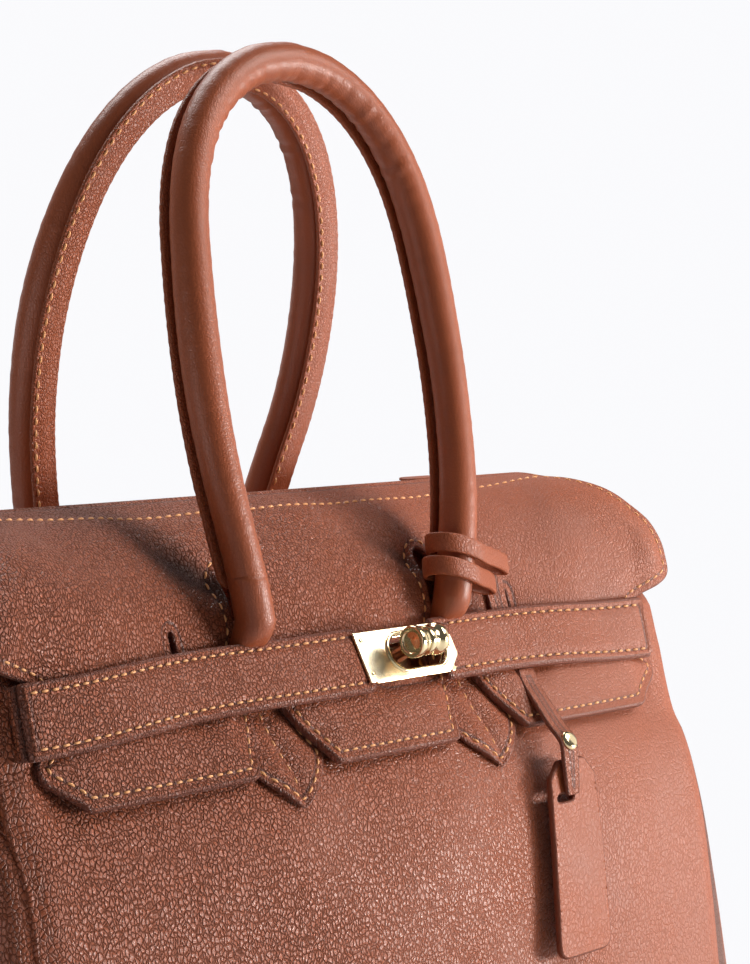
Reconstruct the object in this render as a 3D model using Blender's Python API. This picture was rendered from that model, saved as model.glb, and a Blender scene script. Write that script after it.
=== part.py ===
"""A leather handbag with a zip top, two tube handles, a notched flap, two belt straps and a turnlock.

Metres, +Z up, front towards -Y. The origin is on the floor below the middle of the bag.
"""

import math

import bmesh
import bpy
from mathutils import Matrix, Vector

GAP = 0.0003
LEATHER = 0.003

# The front wall's outside, from the zip down to the base, as (depth, height) rows.
WALL_MIDDLE = [
    (0.0057, 0.2470), (0.0168, 0.2416), (0.0265, 0.2319), (0.0343, 0.2196), (0.0391, 0.2051),
    (0.0453, 0.1913), (0.0559, 0.1771), (0.0650, 0.1673), (0.0705, 0.1580), (0.0755, 0.1440),
    (0.0795, 0.1250), (0.0825, 0.0980), (0.0850, 0.0600), (0.0865, 0.0280), (0.0870, 0.0083),
]
WALL_SIDE = [
    (0.0068, 0.2467), (0.0213, 0.2451), (0.0367, 0.2401), (0.0454, 0.2304), (0.0492, 0.2152),
    (0.0512, 0.1990), (0.0560, 0.1830), (0.0645, 0.1673), (0.0705, 0.1580), (0.0755, 0.1440),
    (0.0795, 0.1250), (0.0825, 0.0980), (0.0850, 0.0600), (0.0865, 0.0280), (0.0870, 0.0083),
]
MIDDLE_REACH = 0.06
SIDE_START = 0.15
# Half the width of the front and back panels, as (height, half width).
PANEL_EDGE = [
    (0.0080, 0.1500), (0.0120, 0.1580), (0.0200, 0.1625), (0.0300, 0.1640), (0.0730, 0.1605),
    (0.1070, 0.1580), (0.1400, 0.1565), (0.1620, 0.1560), (0.1960, 0.1560), (0.2100, 0.1545),
    (0.2250, 0.1480), (0.2400, 0.1390), (0.2500, 0.1340),
]
PANEL_TOP_ROW_SHARE = 0.4
PANEL_COLUMNS = 18

FLAP_LOW_LIFT = 0.0003
FLAP_HIGH_LIFT = 0.0023
# Half the width of the flap by wall row, from the zip to the tabs' ends.
FLAP_EDGE = [
    (0.0, 0.1335), (1.0, 0.1410), (2.0, 0.1490), (3.0, 0.1570), (4.0, 0.1620), (4.35, 0.1455),
    (5.0, 0.1455), (6.0, 0.1455), (7.0, 0.1455),
]
FLAP_ROWS = [0.0, 0.5, 1.0, 1.5, 2.0, 2.5, 3.0, 3.5, 4.0, 4.35, 5.0, 5.5, 6.0, 6.5, 7.0]
FLAP_COLUMNS = 20
NOTCH_X = 0.0465
NOTCH_TOP_RADIUS = 0.011
NOTCH_TOP_Z = 0.2135
NOTCH_THROAT = 0.006
NOTCH_THROAT_LOW = 0.185
NOTCH_THROAT_HIGH = 0.2045
NOTCH_MOUTH = 0.0165
TAB_END_Z = 0.1690
OUTER_TAB_CORNER = (0.1455, 0.1855)
OUTER_TAB_FOOT = 0.1320
BUTTONHOLE_X = 0.081
BUTTONHOLE_LOW = 0.186
BUTTONHOLE_HIGH = 0.213
BUTTONHOLE_HALF = 0.001
CUT_NEAR = 0.012
CUT_FAR = 0.12
CUT_BELOW = 0.15
CUT_SIDE = 0.16

SLIT_INNER = 0.1463
SLIT_OUTER = 0.1507
SLIT_LOW = 0.1825
SLIT_HIGH = 0.2065

GUSSET_SEAM = 0.0008
GUSSET_BULGE_LOW = 0.0085
GUSSET_BULGE_HIGH = 0.0050
GUSSET_PLEAT_LOW = 0.0030
GUSSET_PLEAT_HIGH = 0.0260
GUSSET_TOP_Z = 0.2375
GUSSET_ROWS = 12
GUSSET_COLUMNS = 18
PLEAT_WIDTH_SHARE = 0.38
LINING_GAP = 0.0022
LINING_THICK = 0.0012
LINING_TOP_Z = 0.2300
LINING_FLOOR_Z = 0.0120
LINING_CORNER = 0.006
LINING_SIDE_GAP = 0.0020

BASE_LOW = 0.0040
BASE_HIGH = 0.0080
BASE_HALF_LENGTH = 0.1610
BASE_HALF_DEPTH = 0.0895
BASE_CORNER = 0.018
FOOT_X = BASE_HALF_LENGTH - 0.036
FOOT_Y = BASE_HALF_DEPTH - 0.0245
FOOT_RADIUS = 0.0065
FOOT_EDGE = 0.0015

STRAP_Z = 0.1938
STRAP_ARCH = -0.0012
STRAP_HALF_WIDTH = 0.011
STRAP_THICK = 0.0035
STRAP_SHIM_MIDDLE = 0.0031
STRAP_SHIM_END = 0.0018
SHIM_FALL_START = 0.085
SHIM_FALL_END = 0.125
STRAP_PIVOT_X = 0.1485
LEFT_STRAP_TIP = -0.0015
RIGHT_STRAP_TIP = 0.0350
RIGHT_SKIVE_X = 0.0420
SKIVED_THICK = 0.0022
ANCHOR_HALF_THICK = 0.0017
ANCHOR_HALF_HEIGHT = 0.0104
ANCHOR_DEPTH = 0.0020
ANCHOR_SLOPE = 0.0050

LOCK_X = 0.016
PLATE_LEFT = -0.0055
PLATE_RIGHT = 0.0400
PLATE_HALF = 0.00865
PLATE_THICK = 0.0012
PLATE_CHAMFER_X = 0.0060
PLATE_CHAMFER_Z = 0.0052
PLATE_RIM = 0.0004
PLATE_RIM_WIDTH = 0.0014
UNDER_LEFT = -0.0010
UNDER_RIGHT = 0.0413
UNDER_THICK = 0.0010
UNDER_CHAMFER = 0.0036
SLOT_LEFT = 0.0082
SLOT_RIGHT = 0.0345
SLOT_HALF = 0.0058
UNDER_SLOT_LEFT = 0.0045
FLAP_SLOT_LEFT = 0.0040
FLAP_SLOT_RIGHT = 0.0380
FLAP_SLOT_HALF = 0.0068
POST_RADIUS = 0.0024
POST_TOP = 0.0168
SPIGOT_RADIUS = 0.0013
SPIGOT_HEIGHT = 0.0040
POST_BASE_LEFT = 0.0060
POST_BASE_RIGHT = 0.0360
POST_BASE_HALF = 0.0060
POST_BASE_SEAT = 0.0009
POST_BASE_THICK = 0.0012
TOGGLE_LIFT = 0.0222
TOGGLE_HALF_LENGTH = 0.0065
TOGGLE_RADIUS = 0.0052
TOGGLE_GROOVE = 0.0044
TOGGLE_FACE_RADIUS = 0.0034
TOGGLE_FACE_DEPTH = 0.0006
TOGGLE_BAND = 0.0011
TOGGLE_SPIGOT_GAP = 0.0001

# The handles' centre lines from the top down one side, as (half width, depth forward of zip, height).
FRONT_HANDLE = [
    (0.0, 0.0185, 0.3900), (0.0161, 0.0190, 0.3874), (0.0305, 0.0205, 0.3800), (0.0419, 0.0227, 0.3686),
    (0.0496, 0.0255, 0.3544), (0.0539, 0.0285, 0.3390), (0.0560, 0.0317, 0.3230), (0.0572, 0.0348, 0.3070),
    (0.0577, 0.0380, 0.2910), (0.0572, 0.0411, 0.2749), (0.0557, 0.0442, 0.2589), (0.0531, 0.0470, 0.2431),
    (0.0498, 0.0490, 0.2274), (0.0470, 0.0496, 0.2147),
]
REAR_HANDLE = [
    (0.0, 0.0128, 0.3895), (0.0166, 0.0135, 0.3868), (0.0314, 0.0153, 0.3792), (0.0433, 0.0180, 0.3677),
    (0.0520, 0.0213, 0.3537), (0.0579, 0.0249, 0.3383), (0.0615, 0.0287, 0.3223), (0.0631, 0.0326, 0.3060),
    (0.0628, 0.0364, 0.2896), (0.0608, 0.0403, 0.2733), (0.0571, 0.0441, 0.2573), (0.0530, 0.0470, 0.2417),
    (0.0490, 0.0490, 0.2274), (0.0470, 0.0496, 0.2147),
]
HANDLE_RADIUS = 0.00635
HANDLE_TILT_DEG = 11.0
SEAM_HALF_WIDTH = 0.0055
SEAM_THICK = 0.0025
SEAM_END = 11

HANDLE_TAB_X = 0.0475
HANDLE_TAB_SEAT = 0.0005
# Half the width of a handle's flat end by height.
HANDLE_TAB = [
    (0.1585, 0.0010), (0.1630, 0.0065), (0.1670, 0.0125), (0.1720, 0.0170), (0.1780, 0.0150),
    (0.1850, 0.0120), (0.1950, 0.0105), (0.2045, 0.0100), (0.2085, 0.0095), (0.2110, 0.0090),
    (0.2130, 0.0080),
]
HANDLE_TAB_THICK = 0.0015
HANDLE_TAB_RISE = 0.0062
HANDLE_TAB_RISE_LOW = 0.2060
HANDLE_TAB_RISE_WIDTH = 0.0062

ZIP_HALF_LENGTH = 0.130
ZIP_TAPE_OUTER = 0.0086
ZIP_TAPE_LOW = 0.2449
ZIP_TAPE_THICK = 0.0008
ZIP_PITCH = 0.004
TOOTH_HALF = 0.0008
TOOTH_TIP = 0.0010
TOOTH_ROOT = 0.0015
TEETH_BACK = 0.0026
TEETH_THICK = 0.0020
TEETH_COUNT = 64
SLIDER_X = 0.108
SLIDER_HALF_LENGTH = 0.006
SLIDER_HALF_WIDTH = 0.0040
SLIDER_LIP = 0.0009
SLIDER_LIP_DROP = 0.0012
SLIDER_PLATE = 0.0012
EAR_HALF_LENGTH = 0.0022
EAR_THICK = 0.0012
EAR_INNER = 0.0016
EAR_HEIGHT = 0.0042
PIN_RADIUS = 0.0008
PIN_DROP = 0.0016
PULL_HALF_WIDTH = 0.0013
PULL_EYE = 0.0020
PULL_HOLE = 0.0011
PULL_LENGTH = 0.028
PULL_THICK = 0.0012
PULL_END_HALF_WIDTH = 0.0045
PULL_END_START = 0.0090

TAG_X = 0.0755
TAG_TAIL_HALF_WIDTH = 0.0042
TAG_TAIL_SEAT = 0.0005
TAG_TAIL_THICK = 0.0014
TAG_TAIL_HIGH = 0.2235
TAG_TAIL_LOW = 0.1790
TAG_PIVOT = (0.0598, 0.1828)
# The tag strap's inner face below the belt, as (half width, middle x, depth, height).
TAG_STRAP = [
    (0.0042, 0.0752, 0.0599, 0.1818), (0.0042, 0.0742, 0.0655, 0.1765), (0.0042, 0.0730, 0.0728, 0.1695),
    (0.0042, 0.0720, 0.0783, 0.1650), (0.0040, 0.0715, 0.0798, 0.1600), (0.0036, 0.0712, 0.0807, 0.1540),
    (0.0030, 0.0710, 0.0811, 0.1510),
]
TAG_STRAP_THICK = 0.0018
TAG_TOP = (0.0756, 0.1630)
TAG_FOOT = (0.0858, 0.0990)
TAG_THICK = 0.0026
TAG_MIDDLE = 0.0760
TAG_HALF_TOP = 0.0125
TAG_HALF_FOOT = 0.0142
TAG_SHOULDER = 0.006
TAG_CORNER = 0.004
TAG_SLOT_X = 0.0710
TAG_SLOT_HALF = (0.0046, 0.0011)
TAG_SLOT_DROP = 0.0128
RIVET_RADIUS = 0.0036
RIVET_HEIGHT = 0.0010
RIVET_AT = 3
LOOP_INNER = [
    (-0.0070, 0.0000), (-0.0065, -0.0027), (-0.0050, -0.0050), (-0.0027, -0.0065), (0.0000, -0.0070),
    (0.0030, -0.0068), (0.0262, 0.0010), (0.0268, 0.0020), (0.0262, 0.0030), (0.0040, 0.0062),
    (0.0000, 0.0070), (-0.0027, 0.0065), (-0.0050, 0.0050), (-0.0065, 0.0027),
]
LOOP_THICK = 0.0018
LOOP_HALF_HEIGHT = 0.0027
LOOP_LOW = (0.0478, 0.2225)
LOOP_HIGH = (0.0498, 0.2302)

ARC_STEPS = 8
HUES = {
    "pebbled_leather": ((0.26, 0.085, 0.045, 1), 0.5, 0),
    "smooth_leather": ((0.24, 0.075, 0.04, 1), 0.42, 0),
    "lining_fabric": ((0.18, 0.09, 0.05, 1), 0.8, 0),
    "gold_metal": ((0.85, 0.66, 0.36, 1), 0.18, 1),
    "zip_fabric": ((0.2, 0.08, 0.045, 1), 0.75, 0),
}


def clear_scene():
    for item in list(bpy.data.objects):
        bpy.data.objects.remove(item, do_unlink=True)


def new_collection(name, hidden):
    collection = bpy.data.collections.new(name)
    collection.hide_render = hidden
    bpy.context.scene.collection.children.link(collection)
    return collection


clear_scene()
BAG = new_collection("handbag", False)
CUTTERS = new_collection("cutters", True)


def new_material(name, hue):
    """A Principled material of its own for each sub-part."""
    colour, rough, metal = HUES[hue]
    material = bpy.data.materials.new(name)
    material.use_nodes = True
    surface = material.node_tree.nodes["Principled BSDF"]
    surface.inputs["Base Color"].default_value = colour
    surface.inputs["Roughness"].default_value = rough
    surface.inputs["Metallic"].default_value = metal
    return material


def place(name, mesh, hue, origin=None):
    """Link a mesh as a sub-part (or as a cutter when it has no hue), with its origin on a joint axis."""
    body = bpy.data.objects.new(name, mesh)
    if origin is not None:
        mesh.transform(Matrix.Translation(-Vector(origin)))
        body.location = origin
    if hue is None:
        body.hide_render = True
        body.display_type = "WIRE"
        CUTTERS.objects.link(body)
    else:
        mesh.materials.append(new_material(name, hue))
        BAG.objects.link(body)
    return body


def mesh_from(name, build):
    """A mesh filled by build(bm), closed, with its normals outward."""
    bm = bmesh.new()
    build(bm)
    bmesh.ops.recalc_face_normals(bm, faces=bm.faces)
    mesh = bpy.data.meshes.new(name)
    bm.to_mesh(mesh)
    bm.free()
    return mesh


def boolean(target, cutter, operation="DIFFERENCE"):
    modifier = target.modifiers.new(cutter.name, "BOOLEAN")
    modifier.operation = operation
    modifier.solver = "EXACT"
    modifier.object = cutter


def loft(name, outer, inner, hue, origin=None, around=False):
    """A closed skin between two grids of points, outer and inner; around joins each row's ends."""

    def build(bm):
        sheets = [[[bm.verts.new(p) for p in row] for row in grid] for grid in (outer, inner)]
        rows = len(outer)
        columns = len(outer[0])
        last = columns if around else columns - 1
        for sheet in sheets:
            for i in range(rows - 1):
                for j in range(last):
                    k = (j + 1) % columns
                    bm.faces.new((sheet[i][j], sheet[i][k], sheet[i + 1][k], sheet[i + 1][j]))
        near, far = sheets
        for i in (0, rows - 1):
            for j in range(last):
                k = (j + 1) % columns
                bm.faces.new((near[i][j], near[i][k], far[i][k], far[i][j]))
        if not around:
            for j in (0, columns - 1):
                for i in range(rows - 1):
                    bm.faces.new((near[i][j], near[i + 1][j], far[i + 1][j], far[i][j]))

    return place(name, mesh_from(name, build), hue, origin)


def prism(name, outline, low, high, frame, hue=None, origin=None, hole=None):
    """A flat outline between two levels of a frame, with an optional hole of the same number of points."""

    def build(bm):
        loops = []
        for level in (low, high):
            for shape in [outline] + ([hole] if hole else []):
                loops.append([bm.verts.new(frame @ Vector((a, b, level))) for a, b in shape])
        count = len(outline)
        if hole:
            foot, foot_hole, head, head_hole = loops
            for i in range(count):
                j = (i + 1) % count
                bm.faces.new((foot[i], foot[j], foot_hole[j], foot_hole[i]))
                bm.faces.new((head[i], head[j], head_hole[j], head_hole[i]))
                bm.faces.new((foot[i], foot[j], head[j], head[i]))
                bm.faces.new((foot_hole[i], foot_hole[j], head_hole[j], head_hole[i]))
        else:
            foot, head = loops
            bm.faces.new(foot)
            bm.faces.new(head)
            for i in range(count):
                j = (i + 1) % count
                bm.faces.new((foot[i], foot[j], head[j], head[i]))

    return place(name, mesh_from(name, build), hue, origin)


def ball(name, radius, centre):
    def build(bm):
        bmesh.ops.create_uvsphere(bm, u_segments=16, v_segments=10, radius=radius)
        bmesh.ops.translate(bm, verts=bm.verts, vec=centre)

    return place(name, mesh_from(name, build), None)


def cylinder(name, radius, low, high, frame, hue=None, origin=None, segments=20, top=None):
    def build(bm):
        bmesh.ops.create_cone(
            bm, cap_ends=True, segments=segments, radius1=radius, radius2=radius if top is None else top,
            depth=high - low,
        )
        bmesh.ops.translate(bm, verts=bm.verts, vec=(0, 0, (low + high) / 2))
        bmesh.ops.transform(bm, matrix=frame, verts=bm.verts)

    return place(name, mesh_from(name, build), hue, origin)


def through(rows, t):
    """Smooth point of a table at row number t, by a Catmull-Rom curve."""
    last = len(rows) - 1
    i = min(int(t), last - 1)
    f = t - i
    around = (rows[max(i - 1, 0)], rows[i], rows[i + 1], rows[min(i + 2, last)])
    return tuple(
        (2 * b + (c - a) * f + (2 * a - 5 * b + 4 * c - d) * f**2 + (3 * b - a - 3 * c + d) * f**3) / 2
        for a, b, c, d in zip(*around)
    )


def between(table, key):
    """Straight interpolation of a two-column table."""
    if key <= table[0][0]:
        return table[0][1]
    for (k0, v0), (k1, v1) in zip(table, table[1:]):
        if key <= k1:
            return v0 + (v1 - v0) * (key - k0) / (k1 - k0)
    return table[-1][1]


def smooth(share):
    share = min(max(share, 0), 1)
    return share * share * (3 - 2 * share)


def spread(low, high, count):
    return [low + (high - low) * i / (count - 1) for i in range(count)]


LAST_ROW = len(WALL_MIDDLE) - 1
ROW_STEP_SHARE = 0.05


def profile(x, t):
    """Depth and height of the wall's outside at width x and row t."""
    share = smooth((abs(x) - MIDDLE_REACH) / (SIDE_START - MIDDLE_REACH))
    return [m + share * (s - m) for m, s in zip(through(WALL_MIDDLE, t), through(WALL_SIDE, t))]


def wall_frame(x, t, front=True):
    """The wall's point, its direction down the wall and its direction outward."""
    above = profile(x, max(t - ROW_STEP_SHARE, 0))
    below = profile(x, min(t + ROW_STEP_SHARE, LAST_ROW))
    run = below[0] - above[0]
    drop = above[1] - below[1]
    size = math.hypot(run, drop)
    sign = -1 if front else 1
    depth, height = profile(x, t)
    point = Vector((x, sign * depth, height))
    down = Vector((0, sign * run / size, -drop / size))
    outward = Vector((0, sign * drop / size, run / size))
    return point, down, outward


def wall(x, t, lift=0, front=True):
    point, _, outward = wall_frame(x, t, front)
    return point + lift * outward


def row_at(x, height):
    """The row number where the wall at width x has this height."""
    low = 0
    high = LAST_ROW
    for _ in range(40):
        middle = (low + high) / 2
        if profile(x, middle)[1] > height:
            low = middle
        else:
            high = middle
    return low


def obround(left, right, half, middle=0):
    """A slot's outline between two x values, with round ends."""
    points = []
    for centre, start in ((right - half, -90), (left + half, 90)):
        for i in range(ARC_STEPS + 1):
            angle = math.radians(start + 180 * i / ARC_STEPS)
            points.append((centre + half * math.cos(angle), middle + half * math.sin(angle)))
    return points


def mirrored(outline):
    return [(-a, b) for a, b in outline]


FRONTAL = Matrix.Rotation(math.radians(90), 4, "X")


def panel(name, front):
    """The front or back panel: a leather sheet on the wall's outside."""
    rows = [PANEL_TOP_ROW_SHARE, 0.7] + [i / 2 for i in range(2, 16)] + list(range(8, LAST_ROW + 1))
    grids = []
    for lift in (0, -LEATHER):
        grid = []
        for t in rows:
            half = between(PANEL_EDGE, profile(SIDE_START, t)[1])
            grid.append([wall(x, t, lift, front) for x in spread(-half, half, PANEL_COLUMNS)])
        grids.append(grid)
    return loft(name, grids[0], grids[1], "pebbled_leather")


front_panel = panel("front_panel", True)
back_panel = panel("back_panel", False)
for side in (-1, 1):
    corners = [(SLIT_INNER, SLIT_LOW), (SLIT_OUTER, SLIT_LOW), (SLIT_OUTER, SLIT_HIGH), (SLIT_INNER, SLIT_HIGH)]
    outline = [(side * a, b) for a, b in corners]
    boolean(front_panel, prism(f"slit_cutter_{side}", outline, CUT_NEAR, CUT_FAR, FRONTAL))


def flap_lift(t):
    return FLAP_LOW_LIFT + (FLAP_HIGH_LIFT - FLAP_LOW_LIFT) * min(t / 3, 1)


def build_flap():
    """The flap: sewn along the zip and lying down the front, with three tabs and keyhole notches."""
    grids = []
    for extra in (LEATHER, 0):
        grid = []
        for t in FLAP_ROWS:
            half = between(FLAP_EDGE, t)
            grid.append([wall(x, t, flap_lift(t) + extra) for x in spread(-half, half, FLAP_COLUMNS)])
        grids.append(grid)
    flap = loft("flap", grids[0], grids[1], "pebbled_leather")
    notch = [
        (NOTCH_X - NOTCH_MOUTH, CUT_BELOW), (NOTCH_X - NOTCH_MOUTH, TAB_END_Z),
        (NOTCH_X - NOTCH_THROAT, NOTCH_THROAT_LOW), (NOTCH_X - NOTCH_THROAT, NOTCH_THROAT_HIGH),
    ]
    for i in range(ARC_STEPS + 1):
        angle = math.radians(215 - 250 * i / ARC_STEPS)
        along = NOTCH_X + NOTCH_TOP_RADIUS * math.cos(angle)
        notch.append((along, NOTCH_TOP_Z + NOTCH_TOP_RADIUS * math.sin(angle)))
    notch += [
        (NOTCH_X + NOTCH_THROAT, NOTCH_THROAT_HIGH), (NOTCH_X + NOTCH_THROAT, NOTCH_THROAT_LOW),
        (NOTCH_X + NOTCH_MOUTH, TAB_END_Z), (NOTCH_X + NOTCH_MOUTH, CUT_BELOW),
    ]
    corner = [
        OUTER_TAB_CORNER, (OUTER_TAB_FOOT, TAB_END_Z), (OUTER_TAB_FOOT, CUT_BELOW),
        (CUT_SIDE, CUT_BELOW), (CUT_SIDE, OUTER_TAB_CORNER[1]),
    ]
    slot = [(b, a) for a, b in obround(BUTTONHOLE_LOW, BUTTONHOLE_HIGH, BUTTONHOLE_HALF, BUTTONHOLE_X)]
    for label, outline in (("notch", notch), ("corner", corner), ("buttonhole", slot)):
        boolean(flap, prism(f"{label}_cutter_right", outline, CUT_NEAR, CUT_FAR, FRONTAL))
        boolean(flap, prism(f"{label}_cutter_left", mirrored(outline), CUT_NEAR, CUT_FAR, FRONTAL))
    return flap


flap = build_flap()


def depth_at(x, height, lift):
    """Depth, at width x and this height, of the surface lift metres out of the wall's outside."""
    low = PANEL_TOP_ROW_SHARE
    high = LAST_ROW
    for _ in range(40):
        middle = (low + high) / 2
        if wall(x, middle, lift)[2] > height:
            low = middle
        else:
            high = middle
    return -wall(x, low, lift)[1]


def gusset_x(depth_share, height):
    """Half width of the gusset's outside: a bulge behind each panel's edge and a pleat half way."""
    rise = (height - BASE_HIGH) / (GUSSET_TOP_Z - BASE_HIGH)
    bulge = GUSSET_BULGE_LOW + (GUSSET_BULGE_HIGH - GUSSET_BULGE_LOW) * rise
    pleat = GUSSET_PLEAT_LOW + (GUSSET_PLEAT_HIGH - GUSSET_PLEAT_LOW) * rise
    fold = math.exp(-((depth_share / PLEAT_WIDTH_SHARE) ** 2)) - math.exp(-((1 / PLEAT_WIDTH_SHARE) ** 2))
    return between(PANEL_EDGE, height) - GUSSET_SEAM + bulge * (1 - depth_share**6) - pleat * fold


def gusset_between(depth_share, height):
    """Half width of the gusset's outside as its flat facets have it, between two of its rows."""
    low = BASE_HIGH + GAP
    step = (GUSSET_TOP_Z - low) / (GUSSET_ROWS - 1)
    row = min(int((height - low) / step), GUSSET_ROWS - 2)
    share = (height - low) / step - row
    below = gusset_x(depth_share, low + row * step)
    above = gusset_x(depth_share, low + (row + 1) * step)
    return below + share * (above - below)


def gusset(name, side):
    """A side panel, folded inward half way, with its edges behind the front and back panels."""
    outer = []
    inner = []
    for height in spread(BASE_HIGH + GAP, GUSSET_TOP_Z, GUSSET_ROWS):
        depth = depth_at(gusset_x(1, height) - LEATHER, height, -LEATHER - GUSSET_SEAM)
        out_row = []
        in_row = []
        for share in spread(-1, 1, GUSSET_COLUMNS):
            x = gusset_x(share, height)
            out_row.append(Vector((side * x, share * depth, height)))
            in_row.append(Vector((side * (x - LEATHER), share * depth, height)))
        outer.append(out_row)
        inner.append(in_row)
    return loft(name, outer, inner, "pebbled_leather")


gusset("left_gusset", -1)
gusset("right_gusset", 1)


def lining_row(height, inset):
    """The lining's outline at one height, inside the panels and the gussets."""
    depth = depth_at(gusset_x(1, height) - 2 * LEATHER, height, -LEATHER - LINING_GAP) - inset
    gusset_depth = depth_at(gusset_x(1, height) - LEATHER, height, -LEATHER - GUSSET_SEAM)
    row = []
    for side in (1, -1):
        for share in spread(-1, 1, GUSSET_COLUMNS):
            x = gusset_between(share * depth / gusset_depth, height) - LEATHER - LINING_SIDE_GAP - inset
            pinch = LINING_CORNER * share**6
            row.append(Vector((side * (x - pinch), side * share * depth, height)))
        for x in spread(1, -1, 9)[1:-1]:
            half = gusset_between(1, height) - LEATHER - LINING_CORNER - LINING_SIDE_GAP - inset
            across = x * half
            front = depth_at(across, height, -LEATHER - LINING_GAP) - inset
            row.append(Vector((side * across, side * min(front, depth), height)))
    return row


def build_lining():
    """The lining: an open-topped fabric bag inside the leather."""
    heights = spread(BASE_HIGH + 2 * GAP, LINING_TOP_Z, 16)

    def build(bm):
        outside = [[bm.verts.new(p) for p in lining_row(h, 0)] for h in heights]
        inside_heights = [LINING_FLOOR_Z] + heights[1:]
        inside = [[bm.verts.new(p) for p in lining_row(h, LINING_THICK)] for h in inside_heights]
        count = len(outside[0])
        for sheet in (outside, inside):
            for low_row, high_row in zip(sheet, sheet[1:]):
                for i in range(count):
                    j = (i + 1) % count
                    bm.faces.new((low_row[i], low_row[j], high_row[j], high_row[i]))
            bm.faces.new(sheet[0])
        for i in range(count):
            j = (i + 1) % count
            bm.faces.new((outside[-1][i], outside[-1][j], inside[-1][j], inside[-1][i]))

    return place("lining", mesh_from("lining", build), "lining_fabric")


build_lining()


def rounded_box(half_x, half_y, corner):
    points = []
    for sx, sy, start in ((1, 1, 0), (-1, 1, 90), (-1, -1, 180), (1, -1, 270)):
        for i in range(5):
            angle = math.radians(start + 90 * i / 4)
            x = sx * (half_x - corner) + corner * math.cos(angle)
            points.append((x, sy * (half_y - corner) + corner * math.sin(angle)))
    return points


base_outline = rounded_box(BASE_HALF_LENGTH, BASE_HALF_DEPTH, BASE_CORNER)
prism("base_panel", base_outline, BASE_LOW, BASE_HIGH, Matrix.Identity(4), "pebbled_leather")
for label, x, y in (
    ("front_left", -FOOT_X, -FOOT_Y), ("front_right", FOOT_X, -FOOT_Y),
    ("back_left", -FOOT_X, FOOT_Y), ("back_right", FOOT_X, FOOT_Y),
):
    frame = Matrix.Translation((x, y, 0))
    cylinder(f"foot_{label}", FOOT_RADIUS - FOOT_EDGE, 0, BASE_LOW - GAP, frame, "gold_metal", top=FOOT_RADIUS)


def strap_lift(x):
    """Height of a strap's underside above the wall, lower at its ends."""
    fall = smooth((abs(x) - SHIM_FALL_START) / (SHIM_FALL_END - SHIM_FALL_START))
    return FLAP_HIGH_LIFT + LEATHER + STRAP_SHIM_MIDDLE + (STRAP_SHIM_END - STRAP_SHIM_MIDDLE) * fall


def strap_frame(x):
    height = STRAP_Z + STRAP_ARCH * (1 - (x / STRAP_PIVOT_X) ** 2)
    return wall_frame(x, row_at(x, height))


def strap_point(x, across, lift):
    point, down, outward = strap_frame(x)
    return point + across * down + lift * outward


def strap(name, tip, side):
    """A belt strap: flat leather along the wall, with a round root on its hinge line."""
    half = STRAP_THICK / 2
    root = side * STRAP_PIVOT_X
    sections = []
    for x in spread(tip, root, 15):
        thick = STRAP_THICK
        if side > 0 and x < RIGHT_SKIVE_X:
            thick = SKIVED_THICK
        sections.append((x, strap_lift(x), strap_lift(x) + thick))
    if side > 0:
        low = strap_lift(RIGHT_SKIVE_X)
        sections[1:1] = [(RIGHT_SKIVE_X, low, low + SKIVED_THICK), (RIGHT_SKIVE_X + GAP, low, low + STRAP_THICK)]
        sections = [s for i, s in enumerate(sections) if i < 3 or s[0] > RIGHT_SKIVE_X + GAP]
    low = strap_lift(root)
    for angle in (45, 75):
        reach = half * math.sin(math.radians(angle))
        pinch = half * (1 - math.cos(math.radians(angle)))
        sections.append((root + side * reach, low + pinch, low + STRAP_THICK - pinch))
    outer = []
    inner = []
    for x, bottom, top in sections:
        at = min(abs(x), STRAP_PIVOT_X) * (1 if x > 0 else -1)
        point, down, outward = strap_frame(at)
        shift = Vector((x - at, 0, 0))
        row = [point + shift + a * down for a in (-STRAP_HALF_WIDTH, 0, STRAP_HALF_WIDTH)]
        outer.append([p + top * outward for p in row])
        inner.append([p + bottom * outward for p in row])
    point, _, outward = strap_frame(root)
    pivot = point + (low + half) * outward
    return loft(name, outer, inner, "pebbled_leather", pivot), pivot


left_strap, left_pivot = strap("left_strap", LEFT_STRAP_TIP, -1)
right_strap, right_pivot = strap("right_strap", RIGHT_STRAP_TIP, 1)


def anchor(name, side):
    """The end of a belt strap inside the bag; its upper half slopes to clear the strap's swing."""
    middle = side * STRAP_PIVOT_X
    top = strap_lift(middle) - GAP
    point, down, outward = strap_frame(middle)
    frame = Matrix((
        (0, 0, 1, 0), (down.y, outward.y, 0, point.y), (down.z, outward.z, 0, point.z), (0, 0, 0, 1),
    ))
    half = ANCHOR_HALF_HEIGHT
    outline = [
        (-half, -ANCHOR_DEPTH), (half, -ANCHOR_DEPTH), (half, top), (0, top), (-half, top - ANCHOR_SLOPE),
    ]
    return prism(name, outline, middle - ANCHOR_HALF_THICK, middle + ANCHOR_HALF_THICK, frame, "pebbled_leather")


anchor("left_strap_anchor", -1)
anchor("right_strap_anchor", 1)

# The lock's frame: x along the bag, y down the wall, z out of the wall.
lock_point, lock_down, lock_out = strap_frame(LOCK_X)
LOCK = Matrix((
    (1, 0, 0, 0), (0, lock_down.y, lock_out.y, lock_point.y), (0, lock_down.z, lock_out.z, lock_point.z), (0, 0, 0, 1),
))
STRAP_UNDER = strap_lift(LOCK_X)
PLATE_LOW = STRAP_UNDER + STRAP_THICK + GAP
UNDER_LOW = STRAP_UNDER + SKIVED_THICK + GAP / 3


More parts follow.
